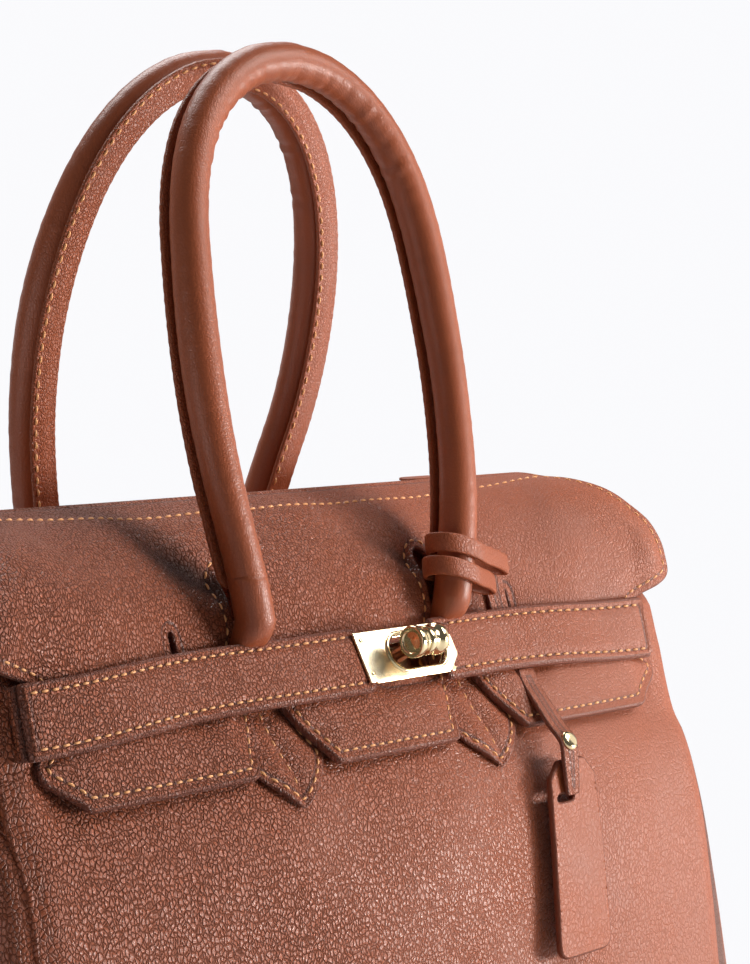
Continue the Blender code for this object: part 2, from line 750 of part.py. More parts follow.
def build_plates():
    """The two slotted metal plates at the straps' ends; the left one lies on top."""
    right = PLATE_RIGHT - PLATE_CHAMFER_X
    side = PLATE_HALF - PLATE_CHAMFER_Z
    outline = [
        (PLATE_LEFT, -PLATE_HALF), (right, -PLATE_HALF), (PLATE_RIGHT, -side), (PLATE_RIGHT, side),
        (right, PLATE_HALF), (PLATE_LEFT, PLATE_HALF),
    ]
    top = prism("top_plate", outline, PLATE_LOW, PLATE_LOW + PLATE_THICK, LOCK, "gold_metal", left_pivot)
    rim_outline = obround(SLOT_LEFT - PLATE_RIM_WIDTH, SLOT_RIGHT + PLATE_RIM_WIDTH, SLOT_HALF + PLATE_RIM_WIDTH)
    rim = prism("rim_shape", rim_outline, PLATE_LOW + GAP, PLATE_LOW + PLATE_THICK + PLATE_RIM, LOCK)
    boolean(top, rim, "UNION")
    slot = prism("top_slot_cutter", obround(SLOT_LEFT, SLOT_RIGHT, SLOT_HALF), 0, CUT_FAR, LOCK)
    boolean(top, slot)
    right = UNDER_RIGHT - UNDER_CHAMFER
    side = PLATE_HALF - UNDER_CHAMFER
    outline = [
        (UNDER_LEFT, -PLATE_HALF), (right, -PLATE_HALF), (UNDER_RIGHT, -side), (UNDER_RIGHT, side),
        (right, PLATE_HALF), (UNDER_LEFT, PLATE_HALF),
    ]
    under = prism("under_plate", outline, UNDER_LOW, UNDER_LOW + UNDER_THICK, LOCK, "gold_metal", right_pivot)
    slot = prism("under_slot_cutter", obround(UNDER_SLOT_LEFT, SLOT_RIGHT, SLOT_HALF), 0, CUT_FAR, LOCK)
    boolean(under, slot)


build_plates()
flap_slot = obround(FLAP_SLOT_LEFT, FLAP_SLOT_RIGHT, FLAP_SLOT_HALF)
boolean(flap, prism("flap_slot_cutter", flap_slot, GAP, CUT_NEAR, LOCK))


def build_lock():
    """The turnlock: a post fixed on the front panel, and a ringed barrel that turns on its spigot."""
    base = obround(POST_BASE_LEFT, POST_BASE_RIGHT, POST_BASE_HALF)
    post = prism("lock_post", base, POST_BASE_SEAT, POST_BASE_SEAT + POST_BASE_THICK, LOCK, "gold_metal")
    at = LOCK @ Matrix.Translation((LOCK_X, 0, 0))
    boolean(post, cylinder("post_shape", POST_RADIUS, POST_BASE_SEAT + GAP, POST_TOP, at), "UNION")
    spigot_top = POST_TOP + SPIGOT_HEIGHT
    boolean(post, cylinder("spigot_shape", SPIGOT_RADIUS, POST_TOP - GAP, spigot_top, at), "UNION")
    rings = [
        (-1, TOGGLE_FACE_DEPTH, 0), (-1, TOGGLE_FACE_DEPTH, TOGGLE_FACE_RADIUS), (-1, 0, TOGGLE_FACE_RADIUS),
        (-1, 0, TOGGLE_RADIUS), (-1, TOGGLE_BAND, TOGGLE_RADIUS), (-1, 2 * TOGGLE_BAND, TOGGLE_GROOVE),
        (1, 2 * TOGGLE_BAND, TOGGLE_GROOVE), (1, TOGGLE_BAND, TOGGLE_RADIUS), (1, 0, TOGGLE_RADIUS),
        (1, 0, TOGGLE_FACE_RADIUS), (1, TOGGLE_FACE_DEPTH, TOGGLE_FACE_RADIUS), (1, TOGGLE_FACE_DEPTH, 0),
    ]
    line = [(end * (TOGGLE_HALF_LENGTH - back), radius) for end, back, radius in rings]
    spin = 20

    def build(bm):
        loops = []
        for along, radius in line[1:-1]:
            loop = []
            for i in range(spin):
                angle = math.tau * i / spin
                spot = Vector((LOCK_X + along, radius * math.cos(angle), TOGGLE_LIFT + radius * math.sin(angle)))
                loop.append(bm.verts.new(LOCK @ spot))
            loops.append(loop)
        for ring, following in zip(loops, loops[1:]):
            for i in range(spin):
                j = (i + 1) % spin
                bm.faces.new((ring[i], ring[j], following[j], following[i]))
        bm.faces.new(loops[0])
        bm.faces.new(loops[-1])

    centre = at @ Vector((0, 0, TOGGLE_LIFT))
    toggle = place("lock_toggle", mesh_from("lock_toggle", build), "gold_metal", centre)
    floor = cylinder("toggle_floor_cutter", TOGGLE_RADIUS, 0, POST_TOP + GAP, at)
    boolean(toggle, floor)
    bore = cylinder("spigot_cutter", SPIGOT_RADIUS + TOGGLE_SPIGOT_GAP, 0, spigot_top + GAP, at)
    boolean(toggle, bore)


build_lock()


def handle_line(points, front):
    sign = -1 if front else 1
    right = [Vector((x, sign * depth, z)) for x, depth, z in points]
    left = [Vector((-p.x, p.y, p.z)) for p in right[1:]]
    return left[::-1] + right


def handle(name, points, front):
    """A padded leather tube: a bevelled curve with round ends, turning about its lower ends."""
    line = handle_line(points, front)
    sizes = [1] * len(line)
    for end, beside in ((0, 1), (-1, -2)):
        away = (line[end] - line[beside]).normalized()
        caps = []
        for angle in (30, 55, 75):
            reach = HANDLE_RADIUS * math.sin(math.radians(angle))
            caps.append((line[end] + reach * away, math.cos(math.radians(angle))))
        if end == 0:
            line = [c[0] for c in reversed(caps)] + line
            sizes = [c[1] for c in reversed(caps)] + sizes
        else:
            line = line + [c[0] for c in caps]
            sizes = sizes + [c[1] for c in caps]
    curve = bpy.data.curves.new(name, "CURVE")
    curve.dimensions = "3D"
    curve.bevel_depth = HANDLE_RADIUS
    curve.bevel_resolution = 2
    curve.use_fill_caps = True
    spline = curve.splines.new("POLY")
    spline.points.add(len(line) - 1)
    sign = -1 if front else 1
    pivot = Vector((0, sign * points[-1][1], points[-1][2]))
    for spot, position, size in zip(spline.points, line, sizes):
        spot.co = (*(position - pivot), 1)
        spot.radius = size
    tube = bpy.data.objects.new(name, curve)
    tube.location = pivot
    curve.materials.append(new_material(name, "smooth_leather"))
    BAG.objects.link(tube)
    return pivot


def handle_seam(name, points, front, pivot):
    """The flat strip sewn along the handle on the side that faces the other handle."""
    sign = 1 if front else -1
    line = handle_line(points[:SEAM_END], front)
    tilt = math.radians(HANDLE_TILT_DEG)
    across = Vector((0, sign * math.cos(tilt), -math.sin(tilt)))
    grids = []
    for lift in (HANDLE_RADIUS + GAP + SEAM_THICK, HANDLE_RADIUS + GAP):
        grid = []
        for i, point in enumerate(line):
            along = (line[min(i + 1, len(line) - 1)] - line[max(i - 1, 0)]).normalized()
            face = (across - along * across.dot(along)).normalized()
            edge = along.cross(face)
            grid.append([point + lift * face + side * SEAM_HALF_WIDTH * edge for side in (-1, 1)])
        grids.append(grid)
    return loft(name, grids[0], grids[1], "smooth_leather", pivot)


front_pivot = handle("front_handle", FRONT_HANDLE, True)
rear_pivot = handle("rear_handle", REAR_HANDLE, False)
handle_seam("front_handle_seam", FRONT_HANDLE, True, front_pivot)
handle_seam("rear_handle_seam", REAR_HANDLE, False, rear_pivot)


def handle_tab(name, side, front):
    """A handle's flat pointed end, sewn on the panel and rising at its top to seat the tube's end."""
    grids = []
    for top in (True, False):
        grid = []
        for height, half in HANDLE_TAB:
            t = row_at(HANDLE_TAB_X, height)
            rise = smooth((height - HANDLE_TAB_RISE_LOW) / (HANDLE_TAB[-1][0] - HANDLE_TAB_RISE_LOW))
            row = []
            for share in spread(-1, 1, 7):
                hump = max(1 - (share * half / HANDLE_TAB_RISE_WIDTH) ** 2, 0) * rise
                lift = HANDLE_TAB_SEAT
                if top:
                    lift = HANDLE_TAB_SEAT + HANDLE_TAB_THICK + HANDLE_TAB_RISE * hump
                row.append(wall(side * HANDLE_TAB_X + share * half, t, lift, front))
            grid.append(row)
        grids.append(grid)
    tab = loft(name, grids[0], grids[1], "smooth_leather")
    points = FRONT_HANDLE if front else REAR_HANDLE
    sign = -1 if front else 1
    centre = (side * points[-1][0], sign * points[-1][1], points[-1][2])
    boolean(tab, ball(f"{name}_seat", HANDLE_RADIUS + GAP, centre))


handle_tab("front_left_handle_tab", -1, True)
handle_tab("front_right_handle_tab", 1, True)
handle_tab("rear_left_handle_tab", -1, False)
handle_tab("rear_right_handle_tab", 1, False)


def zip_half(label, side):
    """One tape and its row of teeth; the two rows stand half a pitch apart and reach past the middle."""
    ends = (-ZIP_HALF_LENGTH, ZIP_HALF_LENGTH)
    inner = side * (TEETH_BACK + GAP)
    outer = side * ZIP_TAPE_OUTER
    outline = [(ends[0], inner), (ends[1], inner), (ends[1], outer), (ends[0], outer)]
    top = ZIP_TAPE_LOW + ZIP_TAPE_THICK
    prism(f"zip_tape_{label}", outline, ZIP_TAPE_LOW, top, Matrix.Identity(4), "zip_fabric")
    start = -ZIP_PITCH * TEETH_COUNT / 2 + (ZIP_PITCH / 2 if side > 0 else 0)
    comb = []
    for i in range(TEETH_COUNT):
        x = start + i * ZIP_PITCH
        comb += [(x - TOOTH_HALF, side * TOOTH_ROOT), (x - TOOTH_HALF, -side * TOOTH_TIP)]
        comb += [(x + TOOTH_HALF, -side * TOOTH_TIP), (x + TOOTH_HALF, side * TOOTH_ROOT)]
    comb = [(start - TOOTH_HALF, side * TEETH_BACK)] + comb[1:-1] + [(x + TOOTH_HALF, side * TEETH_BACK)]
    prism(f"zip_teeth_{label}", comb, ZIP_TAPE_LOW, ZIP_TAPE_LOW + TEETH_THICK, Matrix.Identity(4), "gold_metal")


zip_half("front", -1)
zip_half("back", 1)


def box(low, high, name, hue=None, origin=None):
    outline = [(low[0], low[1]), (high[0], low[1]), (high[0], high[1]), (low[0], high[1])]
    return prism(name, outline, low[2], high[2], Matrix.Identity(4), hue, origin)


def build_slider():
    """The zip's slider, a saddle over the teeth with two ears and a pin, and the pull that hangs on the pin."""
    floor = ZIP_TAPE_LOW + TEETH_THICK + GAP
    top = floor + SLIDER_PLATE
    x0 = SLIDER_X - SLIDER_HALF_LENGTH
    x1 = SLIDER_X + SLIDER_HALF_LENGTH
    wide = SLIDER_HALF_WIDTH
    slider = box((x0, -wide, floor), (x1, wide, top), "zip_slider", "gold_metal")
    for side in (-1, 1):
        lip = sorted((side * wide, side * (wide - SLIDER_LIP)))
        low = (x0 + GAP, lip[0] + GAP, floor - SLIDER_LIP_DROP + GAP)
        drop = box(low, (x1 - GAP, lip[1] - GAP / 2, top - GAP), f"lip_{side}")
        boolean(slider, drop, "UNION")
        ear = sorted((side * EAR_INNER, side * (EAR_INNER + EAR_THICK)))
        low = (SLIDER_X - EAR_HALF_LENGTH, ear[0], top - GAP)
        high = (SLIDER_X + EAR_HALF_LENGTH, ear[1], top + EAR_HEIGHT)
        boolean(slider, box(low, high, f"ear_{side}"), "UNION")
    pin_z = top + EAR_HEIGHT - PIN_DROP
    across = Matrix.Translation((SLIDER_X, 0, pin_z)) @ FRONTAL
    reach = EAR_INNER + EAR_THICK / 2
    boolean(slider, cylinder("pin_shape", PIN_RADIUS, -reach, reach, across, segments=12), "UNION")
    eye = []
    for i in range(13):
        angle = math.radians(-90 + 180 * i / 12)
        eye.append((PULL_EYE * math.cos(angle), PULL_EYE * math.sin(angle)))
    half = PULL_THICK / 2
    outline = eye + [(-PULL_EYE, PULL_EYE), (-PULL_EYE - GAP, half), (-PULL_LENGTH, half), (-PULL_LENGTH, -half)]
    outline += [(-PULL_EYE - GAP, -half), (-PULL_EYE, -PULL_EYE)]
    origin = Vector((SLIDER_X, 0, pin_z))
    pull = prism("zip_pull", outline, -PULL_HALF_WIDTH, PULL_HALF_WIDTH, across, "gold_metal", origin)
    boolean(pull, cylinder("pull_eye_cutter", PULL_HOLE, -CUT_NEAR, CUT_NEAR, across, segments=12))
    grip_end = SLIDER_X - PULL_LENGTH
    grip_low = (grip_end - GAP, -PULL_END_HALF_WIDTH, pin_z - half)
    grip_high = (SLIDER_X - PULL_END_START, PULL_END_HALF_WIDTH, pin_z + half)
    boolean(pull, box(grip_low, grip_high, "grip_shape"), "UNION")


build_slider()


def tag_loop(name, spot):
    """One turn of the tag's thong round the front handle's right leg, ending beside it."""
    x, height = spot
    for low, high in zip(FRONT_HANDLE, FRONT_HANDLE[1:]):
        if high[2] <= height <= low[2]:
            share = (height - high[2]) / (low[2] - high[2])
            depth = high[1] + share * (low[1] - high[1])
    outer = []
    count = len(LOOP_INNER)
    for i, (a, b) in enumerate(LOOP_INNER):
        before = Vector(LOOP_INNER[i - 1])
        after = Vector(LOOP_INNER[(i + 1) % count])
        along = (after - before).normalized()
        outer.append((a + LOOP_THICK * along.y, b - LOOP_THICK * along.x))
    tilt = Matrix.Rotation(math.radians(-HANDLE_TILT_DEG / 2), 4, "X")
    frame = Matrix.Translation((x, -depth, height)) @ tilt
    prism(name, outer, -LOOP_HALF_HEIGHT, LOOP_HALF_HEIGHT, frame, "smooth_leather", front_pivot, hole=LOOP_INNER)


tag_loop("tag_loop_lower", LOOP_LOW)
tag_loop("tag_loop_upper", LOOP_HIGH)


def tag_tail():
    """The thong lying on the flap, from the loops down behind the belt."""
    grids = []
    for extra in (TAG_TAIL_SEAT + TAG_TAIL_THICK, TAG_TAIL_SEAT):
        grid = []
        for height in spread(TAG_TAIL_HIGH, TAG_TAIL_LOW, 11):
            t = row_at(TAG_X, height)
            lift = flap_lift(t) + LEATHER + extra
            edges = (TAG_X - TAG_TAIL_HALF_WIDTH, TAG_X + TAG_TAIL_HALF_WIDTH)
            grid.append([wall(x, t, lift) for x in edges])
        grids.append(grid)
    loft("tag_tail", grids[0], grids[1], "smooth_leather")


tag_tail()


def build_tag():
    """The hanging tag: a strap from behind the belt, a rivet through it and the tag itself."""
    pivot = Vector((TAG_X, -TAG_PIVOT[0], TAG_PIVOT[1]))
    outer = []
    inner = []
    for i, (half, x, depth, height) in enumerate(TAG_STRAP):
        before = TAG_STRAP[max(i - 1, 0)]
        after = TAG_STRAP[min(i + 1, len(TAG_STRAP) - 1)]
        run = Vector((0, after[2] - before[2], after[3] - before[3])).normalized()
        out = Vector((0, run.z, run.y))
        edges = [Vector((x + side * half, -depth, height)) for side in (-1, 1)]
        inner.append(edges)
        outer.append([p + TAG_STRAP_THICK * out for p in edges])
    loft("tag_strap", outer, inner, "smooth_leather", pivot)
    _, x, depth, height = TAG_STRAP[RIVET_AT]
    slope = Vector((0, -(TAG_STRAP[RIVET_AT + 1][2] - TAG_STRAP[RIVET_AT - 1][2]), 0))
    slope.z = TAG_STRAP[RIVET_AT + 1][3] - TAG_STRAP[RIVET_AT - 1][3]
    slope.normalize()
    out = Vector((0, slope.z, -slope.y))
    middle = Vector((x, -depth, height))
    frame = Matrix((
        (1, slope.x, out.x, middle.x), (0, slope.y, out.y, middle.y), (0, slope.z, out.z, middle.z), (0, 0, 0, 1),
    ))
    low = TAG_STRAP_THICK + GAP
    cylinder("tag_rivet", RIVET_RADIUS, low, low + RIVET_HEIGHT, frame, "gold_metal", pivot, top=RIVET_RADIUS / 2)
    top = Vector((TAG_MIDDLE, -TAG_TOP[0], TAG_TOP[1]))
    foot = Vector((TAG_MIDDLE, -TAG_FOOT[0], TAG_FOOT[1]))
    down = foot - top
    length = down.length
    down.normalize()
    out = Vector((0, down.z, -down.y))
    frame = Matrix((
        (1, down.x, out.x, top.x), (0, down.y, out.y, top.y), (0, down.z, out.z, top.z), (0, 0, 0, 1),
    ))
    outline = [
        (TAG_SHOULDER - TAG_HALF_TOP, 0), (TAG_HALF_TOP - TAG_SHOULDER, 0), (TAG_HALF_TOP, TAG_SHOULDER),
        (TAG_HALF_FOOT, length - TAG_CORNER), (TAG_HALF_FOOT - TAG_CORNER / 3, length - TAG_CORNER / 3),
        (TAG_HALF_FOOT - TAG_CORNER, length), (TAG_CORNER - TAG_HALF_FOOT, length),
        (TAG_CORNER / 3 - TAG_HALF_FOOT, length - TAG_CORNER / 3), (-TAG_HALF_FOOT, length - TAG_CORNER),
        (-TAG_HALF_TOP, TAG_SHOULDER),
    ]
    tag = prism("tag_body", outline, 0, TAG_THICK, frame, "pebbled_leather", pivot)
    slot_x = TAG_SLOT_X - TAG_MIDDLE
    half_x, half_z = TAG_SLOT_HALF
    slot = [
        (slot_x - half_x, TAG_SLOT_DROP - half_z), (slot_x + half_x, TAG_SLOT_DROP - half_z),
        (slot_x + half_x, TAG_SLOT_DROP + half_z), (slot_x - half_x, TAG_SLOT_DROP + half_z),
    ]
    boolean(tag, prism("tag_slot_cutter", slot, -CUT_NEAR, CUT_NEAR, frame))


build_tag()
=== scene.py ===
# %% [markdown]
# # A leather handbag, piece by piece
# The bag is a box of pebbled calf leather: two panels, two gussets that fold inward and a base. A flap is
# sewn beside the zip and falls over the front. Everything lies on one curved wall, so one function gives
# every piece its place: the wall at width x and row t, and a lift outward from it.

import math

import bpy
import numpy as np
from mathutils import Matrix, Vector
from mathutils.geometry import delaunay_2d_cdt


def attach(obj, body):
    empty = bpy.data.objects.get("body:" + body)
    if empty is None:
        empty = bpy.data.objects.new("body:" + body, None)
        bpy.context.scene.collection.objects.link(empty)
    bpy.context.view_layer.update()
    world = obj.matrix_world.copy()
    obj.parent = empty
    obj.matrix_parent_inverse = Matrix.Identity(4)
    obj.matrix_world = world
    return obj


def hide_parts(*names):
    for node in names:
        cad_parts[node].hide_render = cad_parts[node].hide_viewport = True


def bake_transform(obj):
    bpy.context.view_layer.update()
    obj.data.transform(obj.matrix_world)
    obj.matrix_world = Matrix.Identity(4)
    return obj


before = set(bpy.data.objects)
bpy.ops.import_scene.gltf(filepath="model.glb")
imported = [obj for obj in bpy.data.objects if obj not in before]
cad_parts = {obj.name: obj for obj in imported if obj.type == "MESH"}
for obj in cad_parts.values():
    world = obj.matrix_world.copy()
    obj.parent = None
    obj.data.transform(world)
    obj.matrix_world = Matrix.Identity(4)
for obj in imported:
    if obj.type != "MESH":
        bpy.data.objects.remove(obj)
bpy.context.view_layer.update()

# %% [markdown]
# ## The wall
# Two lines run from the zip down to the base, one at mid-width and one at the sides, where the flap has
# square shoulders. A Catmull-Rom curve goes through each line's points, and the two are mixed by width:
# P(x, t) = (1 - m(x)) middle(t) + m(x) side(t).

# %%
WALL_MIDDLE = np.array([
    (0.0057, 0.2470), (0.0168, 0.2416), (0.0265, 0.2319), (0.0343, 0.2196), (0.0391, 0.2051),
    (0.0453, 0.1913), (0.0559, 0.1771), (0.0650, 0.1673), (0.0705, 0.1580), (0.0755, 0.1440),
    (0.0795, 0.1250), (0.0825, 0.0980), (0.0850, 0.0600), (0.0865, 0.0280), (0.0870, 0.0083),
])
WALL_SIDE = WALL_MIDDLE.copy()
WALL_SIDE[:8] = [
    (0.0068, 0.2467), (0.0213, 0.2451), (0.0367, 0.2401), (0.0454, 0.2304), (0.0492, 0.2152),
    (0.0512, 0.1990), (0.0560, 0.1830), (0.0645, 0.1673),
]
LAST_ROW = len(WALL_MIDDLE) - 1
LEATHER = 0.003
GAP = 0.0003
# Beyond this width the wall is all shoulder, and the side edges are read there.
SIDE_X = 0.15
SHOULDER_START = 0.06


def smooth(share):
    share = np.clip(share, 0, 1)
    return share * share * (3 - 2 * share)


def unit(vectors):
    return vectors / np.linalg.norm(vectors, axis=-1, keepdims=True)


def through(table, t):
    """Catmull-Rom: p = (2b + (c-a)f + (2a-5b+4c-d)f^2 + (3b-a-3c+d)f^3) / 2 between table rows b and c."""
    last = len(table) - 1
    t = np.clip(t, 0, last)
    i = np.minimum(t.astype(int), last - 1)
    f = (t - i)[..., None]
    a, b = table[np.maximum(i - 1, 0)], table[i]
    c, d = table[i + 1], table[np.minimum(i + 2, last)]
    return (2 * b + (c - a) * f + (2 * a - 5 * b + 4 * c - d) * f**2 + (3 * b - a - 3 * c + d) * f**3) / 2


def profile(x, t):
    share = smooth((np.abs(x) - SHOULDER_START) / (SIDE_X - SHOULDER_START))[..., None]
    return through(WALL_MIDDLE, t) * (1 - share) + through(WALL_SIDE, t) * share


def wall_frame(x, t, front=True):
    """Point, direction down the wall and direction outward, each (..., 3)."""
    x, t = np.broadcast_arrays(np.asarray(x, float), np.asarray(t, float))
    step = 0.05
    run = unit(profile(x, t + step) - profile(x, t - step))
    sign = -1 if front else 1
    point = profile(x, t)
    zero = np.zeros_like(x)
    at = np.stack([x, sign * point[..., 0], point[..., 1]], -1)
    down = np.stack([zero, sign * run[..., 0], run[..., 1]], -1)
    out = np.stack([zero, -sign * run[..., 1], run[..., 0]], -1)
    return at, down, out


def wall(x, t, lift=0.0, front=True):
    at, _, out = wall_frame(x, t, front)
    return at + np.asarray(lift)[..., None] * out


def row_where(above, like, low=0.0, times=36):
    """Row number at which above(row) turns false, by halving between low and the last row."""
    low = np.full_like(like, low)
    high = np.full_like(like, LAST_ROW)
    for _ in range(times):
        middle = (low + high) / 2
        higher = above(middle)
        low = np.where(higher, middle, low)
        high = np.where(higher, high, middle)
    return low


def row_at(x, height):
    """Row number where the wall at width x has this height."""
    x, height = np.broadcast_arrays(np.asarray(x, float), np.asarray(height, float))
    return row_where(lambda t: profile(x, t)[..., 1] > height, x)


def depth_at(x, height, lift):
    """Depth of the lifted wall where it has this height at width x."""
    level = np.full_like(x, lift)
    row = row_where(lambda t: wall(x, t, level)[..., 2] > height, x, low=0.4, times=30)
    return -wall(x, row, level)[..., 1]


print("wall at the zip", wall(0.0, 0.0).round(4), "and at the base", wall(0.0, float(LAST_ROW)).round(4))

# %% [markdown]
# ## Mesh helpers
# A leather piece is cut flat and then bent, and it is made here the same way: an outline with holes is
# filled with triangles in flat coordinates, rounded at its cut edge, and each point is carried to the wall.
# A Delaunay mesh keeps the notches crisp, which a plain grid would not.

# %%
made = []


def volume(verts, faces):
    """Sum over the triangles of a . (b x c) / 6, above zero when the faces point outward."""
    total = 0.0
    for group in faces:
        a = verts[group[:, 0]]
        for i in range(1, group.shape[1] - 1):
            total += (a * np.cross(verts[group[:, i]], verts[group[:, i + 1]])).sum() / 6
    return total


def point_values(mesh, name, values):
    """Stores one number for each point, which a material reads by this name."""
    mesh.attributes.new(name, "FLOAT", "POINT").data.foreach_set("value", np.asarray(values, np.float32))


def new_object(name, verts, faces, material, body="bag", edge=None, path=None):
    """A closed object from arrays of points and of triangles or quads, riding on a CAD body."""
    mesh = bpy.data.meshes.new(name)
    verts = np.asarray(verts, float)
    faces = [np.asarray(f) for f in faces]
    if volume(verts - verts.mean(0), faces) < 0:
        faces = [f[:, ::-1] for f in faces]
    sides = np.concatenate([np.full(len(f), np.shape(f)[1], np.int32) for f in faces])
    corners = np.concatenate([np.asarray(f, np.int32).ravel() for f in faces])
    mesh.vertices.add(len(verts))
    mesh.vertices.foreach_set("co", verts.astype(np.float32).ravel())
    mesh.loops.add(len(corners))
    mesh.loops.foreach_set("vertex_index", corners)
    mesh.polygons.add(len(sides))
    starts = np.concatenate([[0], np.cumsum(sides)[:-1]]).astype(np.int32)
    mesh.polygons.foreach_set("loop_start", starts)
    mesh.update(calc_edges=True)
    mesh.validate()
    mesh.polygons.foreach_set("use_smooth", np.full(len(mesh.polygons), True))
    if edge is not None:
        point_values(mesh, "edge", edge)
    if path is not None:
        flow = mesh.attributes.new("path", "FLOAT_VECTOR", "POINT")
        flow.data.foreach_set("vector", np.asarray(path, np.float32).ravel())
    mesh.materials.append(material)
    obj = bpy.data.objects.new(name, mesh)
    bpy.context.scene.collection.objects.link(obj)
    if body:
        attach(obj, body)
    made.append(obj)
    return obj


def grid_faces(rows, columns, wrap=False, flip=False, start=0):
    """Quads of a rows x columns grid of points; wrap joins the last column to the first."""
    i = np.arange(rows - 1)[:, None] * columns
    j = np.arange(columns if wrap else columns - 1)[None, :]
    k = (j + 1) % columns
    quads = np.stack([i + j, i + k, i + columns + k, i + columns + j], -1).reshape(-1, 4) + start
    return quads[:, ::-1] if flip else quads


def walked(points):
    """Length walked along a line from its first point to each point."""
    return np.concatenate([[0], np.cumsum(np.linalg.norm(np.diff(points, axis=0), axis=1))])


def resample(points, step, closed=True):
    """Even points along a line."""
    points = np.asarray(points, float)
    if closed:
        points = np.vstack([points, points[:1]])
    walk = walked(points)
    count = max(int(round(walk[-1] / step)), 3)
    marks = np.linspace(0, walk[-1], count + 1)
    even = np.stack([np.interp(marks, walk, points[:, k]) for k in range(points.shape[1])], 1)
    return even[:-1] if closed else even


def soften(loop, times):
    """Each point moves towards its neighbours' mean, which rounds the corners."""
    for _ in range(times):
        loop = (np.roll(loop, 1, 0) + 2 * loop + np.roll(loop, -1, 0)) / 4
    return loop


def inward(loop):
    """Unit normals to the left of travel, which is into the piece."""
    along = unit(np.roll(loop, -1, 0) - np.roll(loop, 1, 0))
    return np.stack([-along[:, 1], along[:, 0]], 1)


def chunks(points, most=2000):
    """Point numbers in groups, so that a table of point pairs stays small."""
    return np.array_split(np.arange(len(points)), max(len(points) // most, 1))


def inside(points, loops):
    """Even-odd test of points against all loops at once."""
    result = np.zeros(len(points), bool)
    for loop in loops:
        a, b = loop, np.roll(loop, -1, 0)
        rise = np.where(b[:, 1] == a[:, 1], 1, b[:, 1] - a[:, 1])
        for chunk in chunks(points):
            p = points[chunk][:, None]
            cross = (a[:, 1] > p[..., 1]) != (b[:, 1] > p[..., 1])
            at = a[:, 0] + (p[..., 1] - a[:, 1]) * (b[:, 0] - a[:, 0]) / rise
            result[chunk] ^= (cross & (p[..., 0] < at)).sum(1) % 2 == 1
    return result


def edge_distance(points, loops):
    """Distance of each point to the nearest outline point."""
    every = np.concatenate(loops)
    best = np.empty(len(points))
    for chunk in chunks(points):
        gap = points[chunk][:, None] - every[None]
        best[chunk] = np.sqrt((gap**2).sum(-1).min(1))
    return best


def signed_area(loop):
    x, y = loop[:, 0], loop[:, 1]
    return 0.5 * (x * np.roll(y, -1) - y * np.roll(x, -1)).sum()


# Rows of points follow the cut edge at these depths, and the even filling starts further in.
RING_DEPTHS = (0.0016, 0.0022, 0.0028, 0.0036, 0.0048)
FILL_START = 0.0056
SEAM_WIDTH = 0.0009
ROUND_STEPS = (0, 30, 60, 90)


